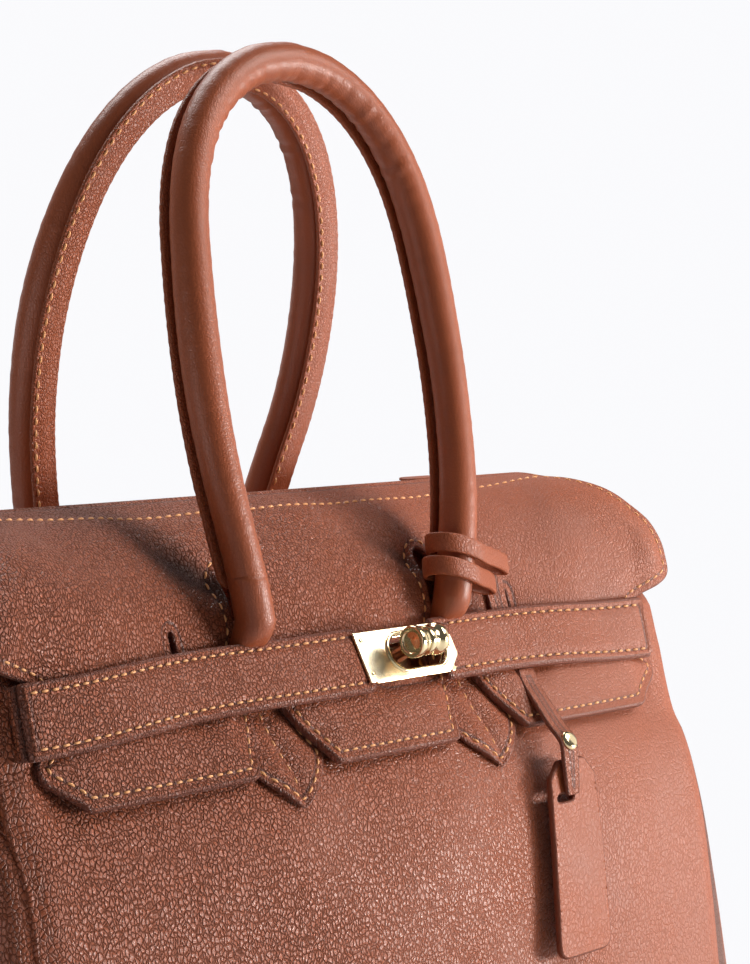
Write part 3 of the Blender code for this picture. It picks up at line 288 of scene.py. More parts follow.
def cut_leather(name, outlines, place, material, body="bag", thick=LEATHER, step=0.0012, fill=0.0024,
                corner=3, radius=0.0007, seam=0.0026, dip=0.00035):
    """A bent leather piece from flat outlines (the first outside, the others holes).

    place(uv, lift) carries flat points to space. The outline's points stand a step apart, their corners are
    softened corner times, and fill is the spacing inside. The cut edge is a quarter round of this radius, and
    the face dips by dip * exp(-((d - seam) / SEAM_WIDTH)^2) at distance d from the edge, where the thread pulls
    it in. Returns the object and the outline loops.
    """
    loops = []
    for i, outline in enumerate(outlines):
        loop = soften(resample(outline, step), corner)
        if (signed_area(loop) > 0) != (i == 0):
            loop = loop[::-1]
        loops.append(loop)
    normals = [inward(loop) for loop in loops]
    rim = [loop + radius * normal for loop, normal in zip(loops, normals)]
    extra = []
    for loop, normal in zip(loops, normals):
        for depth in RING_DEPTHS:
            extra.append((loop + depth * normal, depth))
    low, high = loops[0].min(0), loops[0].max(0)
    xs = np.arange(low[0], high[0], fill)
    ys = np.arange(low[1], high[1], fill * 0.87)
    gx, gy = np.meshgrid(xs, ys)
    gx = gx + fill / 2 * (np.arange(len(ys)) % 2)[:, None]
    points = np.stack([gx.ravel(), gy.ravel()], 1)
    keep = [points[edge_distance(points, loops) > FILL_START]]
    for ring, depth in extra:
        keep.append(ring[edge_distance(ring, loops) > 0.9 * depth])
    points = np.concatenate(keep)
    points = points[inside(points, loops)]
    bounds = []
    count = 0
    for loop in rim:
        index = np.arange(len(loop))
        bounds += [(int(a) + count, int(b) + count) for a, b in zip(index, np.roll(index, -1))]
        count += len(loop)
    flat = np.concatenate(rim + [points])
    out = delaunay_2d_cdt([Vector(p) for p in flat], bounds, [], 0, 1e-7)
    uv = np.array([tuple(v) for v in out[0]])
    triangles = np.array(out[2])
    triangles = triangles[inside(uv[triangles].mean(1), rim)]
    ab = uv[triangles[:, 1]] - uv[triangles[:, 0]]
    ac = uv[triangles[:, 2]] - uv[triangles[:, 0]]
    clockwise = ab[:, 0] * ac[:, 1] < ab[:, 1] * ac[:, 0]
    triangles[clockwise] = triangles[clockwise][:, ::-1]
    distance = edge_distance(uv, loops)
    dent = dip * np.exp(-(((distance - seam) / SEAM_WIDTH) ** 2)) if seam else 0 * distance
    top = place(uv, thick - dent)
    bottom = place(uv, np.zeros(len(uv)))
    verts = [top, bottom]
    edges = [distance, distance]
    faces = [triangles, triangles[:, ::-1] + len(uv)]
    total = 2 * len(uv)
    for loop, normal in zip(loops, normals):
        rings = []
        for angle in np.radians(ROUND_STEPS):
            inset = radius * (1 - math.sin(angle))
            rings.append((loop + inset * normal, thick - radius * (1 - math.cos(angle))))
        rings.append((loop, radius))
        rings.append((loop + radius * normal, 0.0))
        for ring, lift in rings:
            verts.append(place(ring, np.full(len(ring), lift)))
            edges.append(np.zeros(len(ring)))
        faces.append(grid_faces(len(rings), len(loop), wrap=True, flip=True, start=total))
        total += len(rings) * len(loop)
    obj = new_object(name, np.concatenate(verts), faces, material, body, np.concatenate(edges))
    return obj, loops


def circle(sides):
    """Angles of a ring's points."""
    return np.linspace(0, 2 * np.pi, sides, endpoint=False)


def squared(angle, power):
    """A circle pulled towards a square: u = sign(cos a) |cos a|^p and v = sign(sin a) |sin a|^p."""
    u = np.sign(np.cos(angle)) * np.abs(np.cos(angle)) ** power
    v = np.sign(np.sin(angle)) * np.abs(np.sin(angle)) ** power
    return u, v


def spokes(angle, side, other):
    """cos a U + sin a V for each direction pair U, V of a line."""
    return np.cos(angle)[None, :, None] * side[:, None] + np.sin(angle)[None, :, None] * other[:, None]


def tube_grid(centres, radii, sides=24, reference=(0, 1, 0), closed=False):
    """P(s, a) = C(s) + r(s) (cos a U + sin a V), with U = T x reference and V = T x U for the tangent T."""
    centres = np.asarray(centres, float)
    if closed:
        along = unit(np.roll(centres, -1, 0) - np.roll(centres, 1, 0))
    else:
        along = unit(np.gradient(centres, axis=0))
    side = unit(np.cross(along, np.asarray(reference, float)))
    other = np.cross(along, side)
    radii = np.ones(len(centres)) * radii
    return centres[:, None] + radii[:, None, None] * spokes(circle(sides), side, other)


def ringed(name, rings, material, body="bag", path=None, closed=False):
    """A closed skin over rings of points, capped at both ends unless the rings run round a loop."""
    rows, sides = rings.shape[:2]
    verts = rings.reshape(-1, 3)
    faces = [grid_faces(rows, sides, wrap=True)]
    j = np.arange(sides)
    k = (j + 1) % sides
    n = rows * sides
    if closed:
        faces.append(np.stack([n - sides + j, n - sides + k, k, j], 1))
    else:
        verts = np.concatenate([verts, rings[:1].mean(1), rings[-1:].mean(1)])
        faces.append(np.stack([k, j, np.full(sides, n)], 1))
        faces.append(np.stack([n - sides + j, n - sides + k, np.full(sides, n + 1)], 1))
    if path is not None:
        path = np.concatenate([path.reshape(-1, 3), path[:1].mean(1), path[-1:].mean(1)])
    return new_object(name, verts, faces, material, body, path=path)


def lathe(name, centre, axis, line, material, body="bag", sides=40):
    """A turned piece: line holds (distance along the axis, radius)."""
    line = np.asarray(line, float)
    axis = np.asarray(axis, float) / np.linalg.norm(axis)
    side = unit(np.cross(axis, (0.3, 0.5, 0.8)))
    other = np.cross(axis, side)
    angle = circle(sides)
    ring = np.cos(angle)[:, None] * side + np.sin(angle)[:, None] * other
    rings = np.asarray(centre) + line[:, 0][:, None, None] * axis + line[:, 1][:, None, None] * ring
    return ringed(name, rings, material, body)


ring_test = tube_grid([(0, 0, 0), (1, 0, 0)], 0.5, sides=8)
print("a test tube of radius", np.linalg.norm(ring_test[0], axis=1).max().round(3))

# %% [markdown]
# ## Materials
# The leather is shrunken grain: small raised pebbles with narrow cracks between. Distance to the edge of
# warped Voronoi cells gives the pebbles; a second, finer layer gives crumbs on them. The height drives the
# bump; the cracks are duller and carry painted shade, stronger where the grain is strong. The grain is
# strong at the bag's left and nearly gone at its right, where the light washes it out, so its force falls
# with x and the roughness rises.

# %%
COGNAC = (0.345, 0.081, 0.028)
DARK_EDGE = (0.210, 0.058, 0.030)
# Painted shade for the stitch groove and its needle holes.
SEAM_GROOVE_SHADE = (0.10, 0.026, 0.015)
# Painted shade in the flap's creases and in the right gusset's seam groove.
CREASE_SHADE = (0.030, 0.013, 0.010)
WHITE_PAPER = (0.96, 0.96, 0.98, 1)


def add(tree, kind, settings=None, **inputs):
    """A node with its settings and inputs; an input that is a socket is linked."""
    node = tree.nodes.new(kind)
    for key, value in (settings or {}).items():
        setattr(node, key, value)
    for key, value in inputs.items():
        key = key.replace("_", " ")
        socket = node.inputs[int(key[1:])] if key[0] == "i" and key[1:].isdigit() else node.inputs[key]
        if isinstance(value, bpy.types.NodeSocket):
            tree.links.new(value, socket)
        else:
            socket.default_value = value
    return node


def math_node(tree, operation, a, b=0.0, clamp=False):
    return add(tree, "ShaderNodeMath", {"operation": operation, "use_clamp": clamp}, i0=a, i1=b).outputs[0]


def map_range(tree, value, low, high, to_low=0.0, to_high=1.0):
    node = add(tree, "ShaderNodeMapRange", {"interpolation_type": "SMOOTHSTEP"}, Value=value, From_Min=low,
               From_Max=high, To_Min=to_low, To_Max=to_high)
    return node.outputs[0]


def mix_colour(tree, share, a, b):
    return add(tree, "ShaderNodeMix", {"data_type": "RGBA"}, i0=share, i6=a, i7=b).outputs[2]


def attribute(tree, name, output="Fac"):
    return add(tree, "ShaderNodeAttribute", {"attribute_name": name}).outputs[output]


def edge_cells(tree, vector, scale):
    """Distance to the edge of the nearest Voronoi cell."""
    cells = add(tree, "ShaderNodeTexVoronoi", {"feature": "DISTANCE_TO_EDGE"}, Vector=vector, Scale=scale)
    return cells.outputs["Distance"]


def grain_group():
    """Pebble colour with painted shade in the cracks, roughness and normal from object coordinates.

    height = 0.75 pebble + 0.08 crumb + 0.04 pores, bumped with force = Strength x broad patches x calm(x).
    """
    group = bpy.data.node_groups.new("leather_grain", "ShaderNodeTree")
    sockets = {"INPUT": (("Colour", "Color"), ("Scale", "Float"), ("Strength", "Float")),
               "OUTPUT": (("Colour", "Color"), ("Roughness", "Float"), ("Normal", "Vector"))}
    for way, pairs in sockets.items():
        for name, kind in pairs:
            group.interface.new_socket(name, in_out=way, socket_type="NodeSocket" + kind)
    get = group.nodes.new("NodeGroupInput")
    put = group.nodes.new("NodeGroupOutput")
    place = add(group, "ShaderNodeTexCoord").outputs["Object"]
    wobble = add(group, "ShaderNodeTexNoise", Vector=place, Scale=190.0, Detail=1.0).outputs["Color"]
    shift = add(group, "ShaderNodeVectorMath", {"operation": "SCALE"}, i0=wobble, Scale=0.0016).outputs[0]
    bent = add(group, "ShaderNodeVectorMath", {"operation": "ADD"}, i0=place, i1=shift).outputs[0]
    stretch = (1.0, 1.0, 0.68)
    bent = add(group, "ShaderNodeVectorMath", {"operation": "MULTIPLY"}, i0=bent, i1=stretch).outputs[0]
    large = edge_cells(group, bent, get.outputs["Scale"])
    pebble = map_range(group, large, 0.0, 0.23)
    crack = map_range(group, large, 0.005, 0.10, 1.0, 0.0)
    small = edge_cells(group, bent, math_node(group, "MULTIPLY", get.outputs["Scale"], 2.3))
    crumb = map_range(group, small, 0.0, 0.25)
    fine = map_range(group, small, 0.0, 0.09, 0.25, 0.0)
    pores = add(group, "ShaderNodeTexNoise", Vector=place, Scale=2600.0, Detail=3.0).outputs[0]
    broad = add(group, "ShaderNodeTexNoise", Vector=place, Scale=22.0, Detail=3.0).outputs[0]
    height = math_node(group, "MULTIPLY", pebble, 0.75)
    for layer, amount in ((crumb, 0.08), (pores, 0.04)):
        height = math_node(group, "ADD", height, math_node(group, "MULTIPLY", layer, amount))
    across = add(group, "ShaderNodeSeparateXYZ", Vector=place).outputs["X"]
    calm = map_range(group, across, -0.11, 0.14, 1.25, 0.32)
    patches_and_washout = math_node(group, "MULTIPLY", map_range(group, broad, 0.3, 0.7, 0.75, 1.15), calm)
    force = math_node(group, "MULTIPLY", get.outputs["Strength"], patches_and_washout)
    bump = add(group, "ShaderNodeBump", Strength=force, Distance=0.00052, Height=height)
    # Painted shade: the cracks' colour is darkened by this valley mask, more where the grain's force is strong.
    valley = math_node(group, "MAXIMUM", crack, fine)
    valley = math_node(group, "MULTIPLY", valley, force, True)
    dark = add(group, "ShaderNodeHueSaturation", Saturation=1.15, Value=0.36, Color=get.outputs["Colour"])
    colour = mix_colour(group, valley, get.outputs["Colour"], dark.outputs[0])
    tone = map_range(group, broad, 0.25, 0.75, 0.92, 1.06)
    colour = add(group, "ShaderNodeHueSaturation", Value=tone, Color=colour).outputs[0]
    group.links.new(bump.outputs[0], put.inputs["Normal"])
    group.links.new(colour, put.inputs["Colour"])
    rough = map_range(group, pores, 0.3, 0.7, 0.34, 0.44)
    rough = math_node(group, "ADD", rough, math_node(group, "MULTIPLY", valley, 0.5))
    rough = math_node(group, "ADD", rough, map_range(group, across, 0.02, 0.13, 0.0, 0.13))
    group.links.new(rough, put.inputs["Roughness"])
    return group


GRAIN = grain_group()


def leather(name, scale, strength, edge=False, gloss=0.62, seam=0.0):
    """Grained leather, painted dark at the cut with edge; painted shade along the seam groove and in folds."""
    material = bpy.data.materials.new(name)
    material.use_nodes = True
    tree = material.node_tree
    surface = tree.nodes["Principled BSDF"]
    grain = tree.nodes.new("ShaderNodeGroup")
    grain.node_tree = GRAIN
    grain.inputs["Colour"].default_value = (*COGNAC, 1)
    grain.inputs["Scale"].default_value = scale
    grain.inputs["Strength"].default_value = strength
    tint = grain.outputs["Colour"]
    if edge:
        cut = attribute(tree, "edge")
        share = map_range(tree, cut, 0.0001, 0.0004, 1.0, 0.0)
        tint = mix_colour(tree, share, tint, (*DARK_EDGE, 1))
    if seam:
        # Painted shade: a dark line in the stitch groove at the seam distance.
        away = math_node(tree, "ABSOLUTE", math_node(tree, "SUBTRACT", cut, seam))
        tint = mix_colour(tree, map_range(tree, away, 0.0, 0.0008, 0.85, 0.0), tint, (*SEAM_GROOVE_SHADE, 1))
    # Painted shade from the fold attribute: the flap's creases and the right gusset's seam groove.
    tint = mix_colour(tree, attribute(tree, "fold"), tint, (*CREASE_SHADE, 1))
    tree.links.new(tint, surface.inputs["Base Color"])
    tree.links.new(grain.outputs["Roughness"], surface.inputs["Roughness"])
    tree.links.new(grain.outputs["Normal"], surface.inputs["Normal"])
    surface.inputs["Specular IOR Level"].default_value = gloss
    return material


def handle_leather(name):
    """Leather drawn over a round core: fine creases run across the tube, told by its path attribute."""
    material = leather(name, scale=900.0, strength=0.16, gloss=0.5)
    tree = material.node_tree
    surface = tree.nodes["Principled BSDF"]
    path = attribute(tree, "path", "Vector")
    stretch = add(tree, "ShaderNodeMapping", Vector=path, Scale=(1300.0, 130.0, 130.0)).outputs[0]
    crease = add(tree, "ShaderNodeTexNoise", Vector=stretch, Scale=0.55, Detail=3.0).outputs[0]
    grain = surface.inputs["Normal"].links[0].from_socket
    bump = add(tree, "ShaderNodeBump", Strength=0.16, Distance=0.0005, Height=crease, Normal=grain)
    tree.links.new(bump.outputs[0], surface.inputs["Normal"])
    return material


def plain(name, colour, rough, metal=0.0, bump_scale=0.0, bump=0.0):
    """One colour, with a fine noise bump where bump is given."""
    material = bpy.data.materials.new(name)
    material.use_nodes = True
    tree = material.node_tree
    surface = tree.nodes["Principled BSDF"]
    surface.inputs["Base Color"].default_value = (*colour, 1)
    surface.inputs["Roughness"].default_value = rough
    surface.inputs["Metallic"].default_value = metal
    if bump:
        place = add(tree, "ShaderNodeTexCoord").outputs["Object"]
        noise = add(tree, "ShaderNodeTexNoise", Vector=place, Scale=bump_scale, Detail=2.0).outputs[0]
        lift = add(tree, "ShaderNodeBump", Strength=bump, Distance=0.0002, Height=noise)
        tree.links.new(lift.outputs[0], surface.inputs["Normal"])
    return material


PEBBLE = leather("pebbled_leather_look", scale=840.0, strength=1.1, edge=True, seam=0.0030)
STRAP_HIDE = leather("strap_leather_look", scale=840.0, strength=1.1, edge=True, seam=0.0031)
PANEL_HIDE = leather("panel_leather_look", scale=760.0, strength=1.0)
TAG_HIDE = leather("tag_leather_look", scale=700.0, strength=0.4, edge=True, gloss=0.3)
TUBE_HIDE = handle_leather("handle_leather_look")
SMOOTH_HIDE = leather("smooth_leather_look", scale=1000.0, strength=0.5, gloss=0.45)
THREAD = plain("thread_look", (0.90, 0.43, 0.18), 0.45, bump_scale=2500.0, bump=0.5)
GOLD = plain("gold_look", (0.90, 0.74, 0.46), 0.13, metal=1.0, bump_scale=60.0, bump=0.02)
PLATE = plain("plate_look", (0.94, 0.84, 0.62), 0.25, metal=1.0)
TAPE = plain("zip_tape_look", (0.20, 0.075, 0.045), 0.8, bump_scale=1800.0, bump=0.6)
CLOTH = plain("lining_look", (0.17, 0.09, 0.055), 0.85, bump_scale=1500.0, bump=0.5)
print("materials:", len(bpy.data.materials))

# %% [markdown]
# ## Panels and gussets
# Each panel is one sheet of leather bent along the wall. The gussets bulge behind the panels' edges,
# further out low down, and fold inward half way, which lets the bag close flat at the top. At the right the
# gusset's seam with the panel shows, and a dark line of painted shade marks its groove there.

# %%
PANEL_EDGE = np.array([
    (0.0080, 0.1500), (0.0120, 0.1580), (0.0200, 0.1625), (0.0300, 0.1640), (0.0730, 0.1605),
    (0.1070, 0.1580), (0.1400, 0.1565), (0.1620, 0.1560), (0.1960, 0.1560), (0.2100, 0.1545),
    (0.2250, 0.1480), (0.2400, 0.1390), (0.2500, 0.1340),
])
# Inner and outer edge of the slit at each side; the right one stands further in.
SLIT_EDGES = {-1: (0.1463, 0.1507), 1: (0.1390, 0.1440)}
SLIT_LOW, SLIT_SHOULDER, SLIT_HIGH = 0.1835, 0.1940, 0.2060
GUSSET_ROWS, GUSSET_COLUMNS = 90, 110
GUSSET_LOW, GUSSET_HIGH = 0.0083, 0.2375
BASE_TOP = 0.008
ROWS = np.linspace(0, LAST_ROW, 3001)
ARC = walked(through(WALL_MIDDLE, ROWS))


def arc_at(t):
    """Length down the wall's middle line to row t."""
    return np.interp(t, ROWS, ARC)


def row_of(arc):
    """Row at this length down the wall's middle line."""
    return np.interp(arc, ARC, ROWS)


def side_height(t):
    """Height of row t where the wall is all shoulder."""
    return profile(np.full_like(t, SIDE_X), t)[:, 1]


def half_width(height):
    """Half the panel's width at this height."""
    return np.interp(height, PANEL_EDGE[:, 0], PANEL_EDGE[:, 1])


def flat(points):
    """Outline points given as (x, height) carried to flat coordinates (x, length down the wall)."""
    points = np.asarray(points, float)
    return np.stack([points[:, 0], arc_at(row_at(points[:, 0], points[:, 1]))], 1)


def waves(x, y, seed, size, amount):
    """A few random sine waves: soft unevenness of hand-made leather."""
    rng = np.random.default_rng(seed)
    total = np.zeros_like(x)
    for _ in range(7):
        angle, phase = rng.uniform(0, 2 * np.pi, 2)
        rate = rng.uniform(0.6, 1.6) * 2 * np.pi / size
        total += np.sin(rate * (np.cos(angle) * x + np.sin(angle) * y) + phase)
    return amount * total / 7


def panel_outline():
    t = np.linspace(0.4, LAST_ROW, 60)
    half = half_width(side_height(t))
    right = np.stack([half, arc_at(t)], 1)
    left = np.stack([-half, arc_at(t)], 1)[::-1]
    return np.concatenate([right, left])


def obround(left, right, half, middle=0.0, steps=9):
    """A slot's outline: two half circles of radius half with straight sides."""
    angle = np.linspace(-np.pi / 2, np.pi / 2, steps)
    head = np.stack([right - half + half * np.cos(angle), middle + half * np.sin(angle)], 1)
    tail = np.stack([left + half - half * np.cos(angle), middle - half * np.sin(angle)], 1)
    return np.concatenate([head, tail])


def slit(side):
    """The upright slit in which the belt strap ends."""
    inner, outer = SLIT_EDGES[side]
    corners = [(inner, SLIT_LOW), (outer - 0.001, SLIT_LOW), (outer, SLIT_SHOULDER),
               (outer - 0.002, SLIT_HIGH), (inner, SLIT_HIGH)]
    return flat([(side * x, z) for x, z in corners])


def panel_place(front):
    """Places panel points: soft waves, edges turned in, and a rise in front beside the slits."""
    def place(uv, lift):
        x, t = uv[:, 0], row_of(uv[:, 1])
        calm = smooth((0.155 - np.abs(x)) / 0.03) * smooth((t - 7.5) / 1.5) * smooth((13.6 - t) / 1.2)
        swell = waves(x, uv[:, 1], 3 if front else 5, 0.11, 0.0009) * calm
        height = side_height(t)
        turn = 0.0026 * (1 - smooth((half_width(height) - np.abs(x)) / 0.010)) ** 2
        beside = smooth((np.abs(x) - np.where(x > 0, 0.1330, 0.1370)) / 0.012)
        window = smooth((height - 0.160) / 0.028) * smooth((0.2125 - height) / 0.012)
        rise = 0.0055 * beside * window if front else 0
        return wall(x, t, lift - LEATHER + swell - turn + rise, front)

    return place


front_panel, _ = cut_leather("front_panel_skin", [panel_outline(), slit(-1), slit(1)], panel_place(True),
                             PANEL_HIDE, fill=0.0034, step=0.0022, seam=0)
cut_leather("back_panel_skin", [panel_outline()], panel_place(False), PANEL_HIDE, fill=0.0040, step=0.0025,
            seam=0)
print("front panel points:", len(front_panel.data.vertices))


def gusset_x(share, height, power, belly=0.0):
    """x = edge + (bulge + belly) (1 - s^p) - pleat (exp(-(s/0.38)^2) - exp(-(1/0.38)^2)).

    Here s is the share of depth and p the power. From base to top the bulge goes from 8.5 to 5 mm and the inward
    pleat from 3 to 26 mm.
    """
    rise = (height - BASE_TOP) / (GUSSET_HIGH - BASE_TOP)
    bulge = 0.0085 + (0.0050 - 0.0085) * rise
    pleat = 0.0030 + (0.0260 - 0.0030) * rise
    fold = np.exp(-((share / 0.38) ** 2)) - math.exp(-((1 / 0.38) ** 2))
    return half_width(height) - 0.0008 + (bulge + belly) * (1 - share**power) - pleat * fold


def gusset_shares():
    """Shares of the depth from back to front, closer together at both seams."""
    return np.sin(np.linspace(-np.pi / 2, np.pi / 2, GUSSET_COLUMNS))


def gusset_grid(side, inset=0.0):
    """A gusset's points, with a belly that grows below 160 mm."""
    height = np.linspace(GUSSET_LOW, GUSSET_HIGH, GUSSET_ROWS)[:, None]
    share = gusset_shares()[None, :]
    belly = 0.0084 * smooth((0.160 - height) / 0.13)
    x = gusset_x(share, height, 36, belly) - inset
    y = share * depth_at(half_width(height) - 0.0038, height, -LEATHER - 0.0004)
    return np.stack([side * x, y, height + 0 * y], -1)


def loft(name, outer, inner, material, body="bag", wrap=False):
    """A closed skin between two grids of points; wrap joins each row's ends."""
    rows, columns = outer.shape[:2]
    count = rows * columns
    verts = np.concatenate([outer.reshape(-1, 3), inner.reshape(-1, 3)])
    faces = [grid_faces(rows, columns, wrap), grid_faces(rows, columns, wrap, flip=True, start=count)]
    index = np.arange(count).reshape(rows, columns)
    lines = [(index[0], True), (index[-1], False)]
    if not wrap:
        lines += [(index[:, 0], False), (index[:, -1], True)]
    for line, turned in lines:
        first = line if wrap else line[:-1]
        other = np.roll(line, -1) if wrap else line[1:]
        strip = np.stack([first, other, other + count, first + count], 1)
        faces.append(strip[:, ::-1] if turned else strip)
    return new_object(name, verts, faces, material, body)


for side, label in ((-1, "left"), (1, "right")):
    gusset = loft(f"{label}_gusset_skin", gusset_grid(side), gusset_grid(side, inset=0.0025), PANEL_HIDE)
    # Painted shade along the right gusset's groove beside the front panel, stored as fold.
    groove_shade = 0.7 if side > 0 else 0.0
    seam = groove_shade * smooth((np.abs(gusset_shares()) - 0.955) / 0.03)
    point_values(gusset.data, "fold", np.tile(seam, 2 * GUSSET_ROWS))


def rounded_box(half_x, half_y, radius):
    turns = []
    for sx, sy, start in ((1, 1, 0), (-1, 1, 90), (-1, -1, 180), (1, -1, 270)):
        a = np.radians(np.linspace(0, 90, 12)) + math.radians(start)
        x = sx * (half_x - radius) + radius * np.cos(a)
        y = sy * (half_y - radius) + radius * np.sin(a)
        turns.append(np.stack([x, y], 1))
    return np.concatenate(turns)


def flat_place(level):
    def place(uv, lift):
        return np.stack([uv[:, 0], uv[:, 1], level + lift], 1)

    return place


cut_leather("base_skin", [rounded_box(0.1610, 0.0895, 0.018)], flat_place(0.004), PANEL_HIDE, thick=0.0039,
            fill=0.006, step=0.003, seam=0)
print("pieces so far:", len(made))

# %% [markdown]
# ## Stitches
# Each stitch is a short thread capsule that dives into the leather at both ends. A run of them follows an
# offset of the cut edge. The runs are collected by piece and made into one object each at the end.

# %%
PITCH = 0.0041
THREAD_SHARE = 0.60
THREAD_RADIUS = 0.00040
THREAD_RISE = 0.00030
THREAD_SINK = 0.00012
THREAD_TAPER = np.array([0.35, 0.85, 1, 1.04, 1, 0.85, 0.35])
threads = {}


def stitch_rings(a, b, up):
    """Thread from a to b: the middle stands up by rise * sin(pi s), the ends sink below the surface."""
    s = np.linspace(0, 1, len(THREAD_TAPER))
    line = a + s[:, None] * (b - a) + (THREAD_RISE * np.sin(np.pi * s) - THREAD_SINK)[:, None] * up
    return tube_grid(line, THREAD_RADIUS * THREAD_TAPER, 7, reference=up)


def sew(group, points, ups):
    """Stitches along a line of points, each one covering THREAD_SHARE of the pitch."""
    walk = walked(points)
    count = int(walk[-1] / PITCH)
    if count < 1:
        return
    pitch = walk[-1] / count
    starts = (np.arange(count) + (1 - THREAD_SHARE) / 2) * pitch
    both = []
    for marks in (starts, starts + THREAD_SHARE * pitch):
        both.append(np.stack([np.interp(marks, walk, points[:, k]) for k in range(3)], 1))
    up = unit(np.stack([np.interp(starts + pitch / 2, walk, ups[:, k]) for k in range(3)], 1))
    for a, b, u in zip(*both, up):
        threads.setdefault(group, []).append(stitch_rings(a, b, u))


def sew_flat(group, line, place, level):
    """Stitches along a line of flat points on the piece's face at this level."""
    low = place(line, np.full(len(line), level))
    high = place(line, np.full(len(line), level + 0.001))
    sew(group, low, high - low)


def seam_along(group, loops, place, offset, level, keep):
    """Sews at this offset from the outlines, wherever keep(flat points) holds."""
    for loop in loops:
        uv = loop + offset * inward(loop)
        good = (edge_distance(uv, loops) > 0.96 * offset) & keep(uv)
        if not good.any():
            continue
        start = int(np.argmin(good))
        uv, good = np.roll(uv, -start, 0), np.roll(good, -start)
        if good.all():
            uv = np.vstack([uv, uv[:1]])
            good = np.ones(len(uv), bool)
        cuts = np.flatnonzero(np.diff(good.astype(int))) + 1
        for run in np.split(np.arange(len(uv)), cuts):
            if good[run[0]] and len(run) > 3:
                sew_flat(group, uv[run], place, level)


def thread_objects():
    for (label, body), rings in threads.items():
        total = 0
        verts, faces = [], []
        for ring in rings:
            rows, sides = ring.shape[:2]
            verts.append(ring.reshape(-1, 3))
            faces.append(grid_faces(rows, sides, wrap=True, start=total))
            total += rows * sides
        new_object(f"{label}_stitches", np.concatenate(verts), [np.concatenate(faces)], THREAD, body)


print("stitch length:", round(THREAD_SHARE * PITCH * 1000, 2), "mm")

# %% [markdown]
# ## The flap
# The outline has three tabs. Two keyhole notches let the handles through; two buttonholes and the lock's
# slot lie at the belt. The leather swells between its seams, and creases run up from the notches' round
# tops, where the handles push into it.

# %%
NOTCH_X = 0.0465
NOTCH_TOP = 0.2232
NOTCH_RADIUS = 0.0038
FLAP_LAST_ROW = 7.0
# Length of wall for one row, near the notches.
ROW_LENGTH = 0.0145
STRAP_Z = 0.1938
STRAP_ARCH = -0.0012
PIVOT_X = 0.1485
# The flap's side edge as (row, x), and the blunt corner of its outer tab below the belt as (x, height).
FLAP_EDGE = np.array([
    (0.0, 0.1335), (1.0, 0.1410), (2.0, 0.1490), (3.0, 0.1565), (3.6, 0.1598), (4.12, 0.1610), (4.26, 0.1594),
    (4.48, 0.1490), (4.7, 0.1386),
])
TAB_CORNER = [(0.1386, 0.1860), (0.1450, 0.1820), (0.1440, 0.1765), (0.1335, 0.1700)]


def belt_height(x):
    """Height of the belt's middle line, which sags a little between its ends."""
    return STRAP_Z + STRAP_ARCH * (1 - (x / PIVOT_X) ** 2)


def flap_outline():
    top = np.linspace(0, FLAP_EDGE[-1, 0], 60)
    right = np.stack([np.interp(top, FLAP_EDGE[:, 0], FLAP_EDGE[:, 1]), arc_at(top)], 1)
    low = arc_at(FLAP_LAST_ROW)
    arch = np.radians(np.linspace(0, 180, 19))
    keyhole = np.stack([NOTCH_X + NOTCH_RADIUS * np.cos(arch), NOTCH_TOP + NOTCH_RADIUS * np.sin(arch)], 1)
    right_notch = [(NOTCH_X + 0.0165, 0.1690), (NOTCH_X + 0.0095, 0.1790), (NOTCH_X + 0.006, 0.1870),
                   (NOTCH_X + 0.0058, 0.2030), (NOTCH_X + 0.0040, 0.2085)]
    left_notch = [(2 * NOTCH_X - x, z) for x, z in right_notch[::-1]]
    half = np.concatenate([right, flat(TAB_CORNER), [(0.1310, low), (NOTCH_X + 0.0175, low)],
                           flat(right_notch), flat(keyhole), flat(left_notch), [(NOTCH_X - 0.0175, low)]])
    return np.concatenate([half, (half * (-1, 1))[::-1]])


def buttonhole(side):
    """A slit 2.4 mm wide that shows above and below the belt."""
    z = np.linspace(0.187, 0.212, 8)
    x = 0.081 if side > 0 else -0.0770
    edge = [(x + 0.0012, h) for h in z] + [(x - 0.0012, h) for h in z[::-1]]
    return flat(edge)


def lock_slot(left, right, half):
    """The flap's slot for the lock, round the belt's middle line."""
    shape = obround(left, right, half)
    middle = arc_at(row_at(shape[:, 0], belt_height(0.016)))
    return np.stack([shape[:, 0], middle + shape[:, 1]], 1)


FLAP_OUTLINES = [flap_outline(), buttonhole(-1), buttonhole(1), lock_slot(0.004, 0.038, 0.0068)]
# Creases of the flap as (x, row, x, row, depth, half width).
CREASES = [
    (-0.0490, 2.75, -0.0860, 1.05, 0.0030, 0.0050), (0.0430, 3.10, 0.0170, 1.20, 0.0024, 0.0042),
    (-0.0560, 3.9, -0.0800, 2.8, 0.0005, 0.0030),
    (0.0500, 3.10, 0.0660, 1.4, 0.0005, 0.0026), (0.0580, 3.9, 0.0820, 2.9, 0.0006, 0.0030),
    (-0.0350, 3.9, -0.0120, 3.0, 0.0005, 0.0030), (0.0350, 3.9, 0.0140, 3.1, 0.0005, 0.0030),
    (-0.1180, 1.6, -0.0960, 3.2, 0.0004, 0.0035), (0.1120, 1.4, 0.0960, 3.0, 0.0004, 0.0035),
]


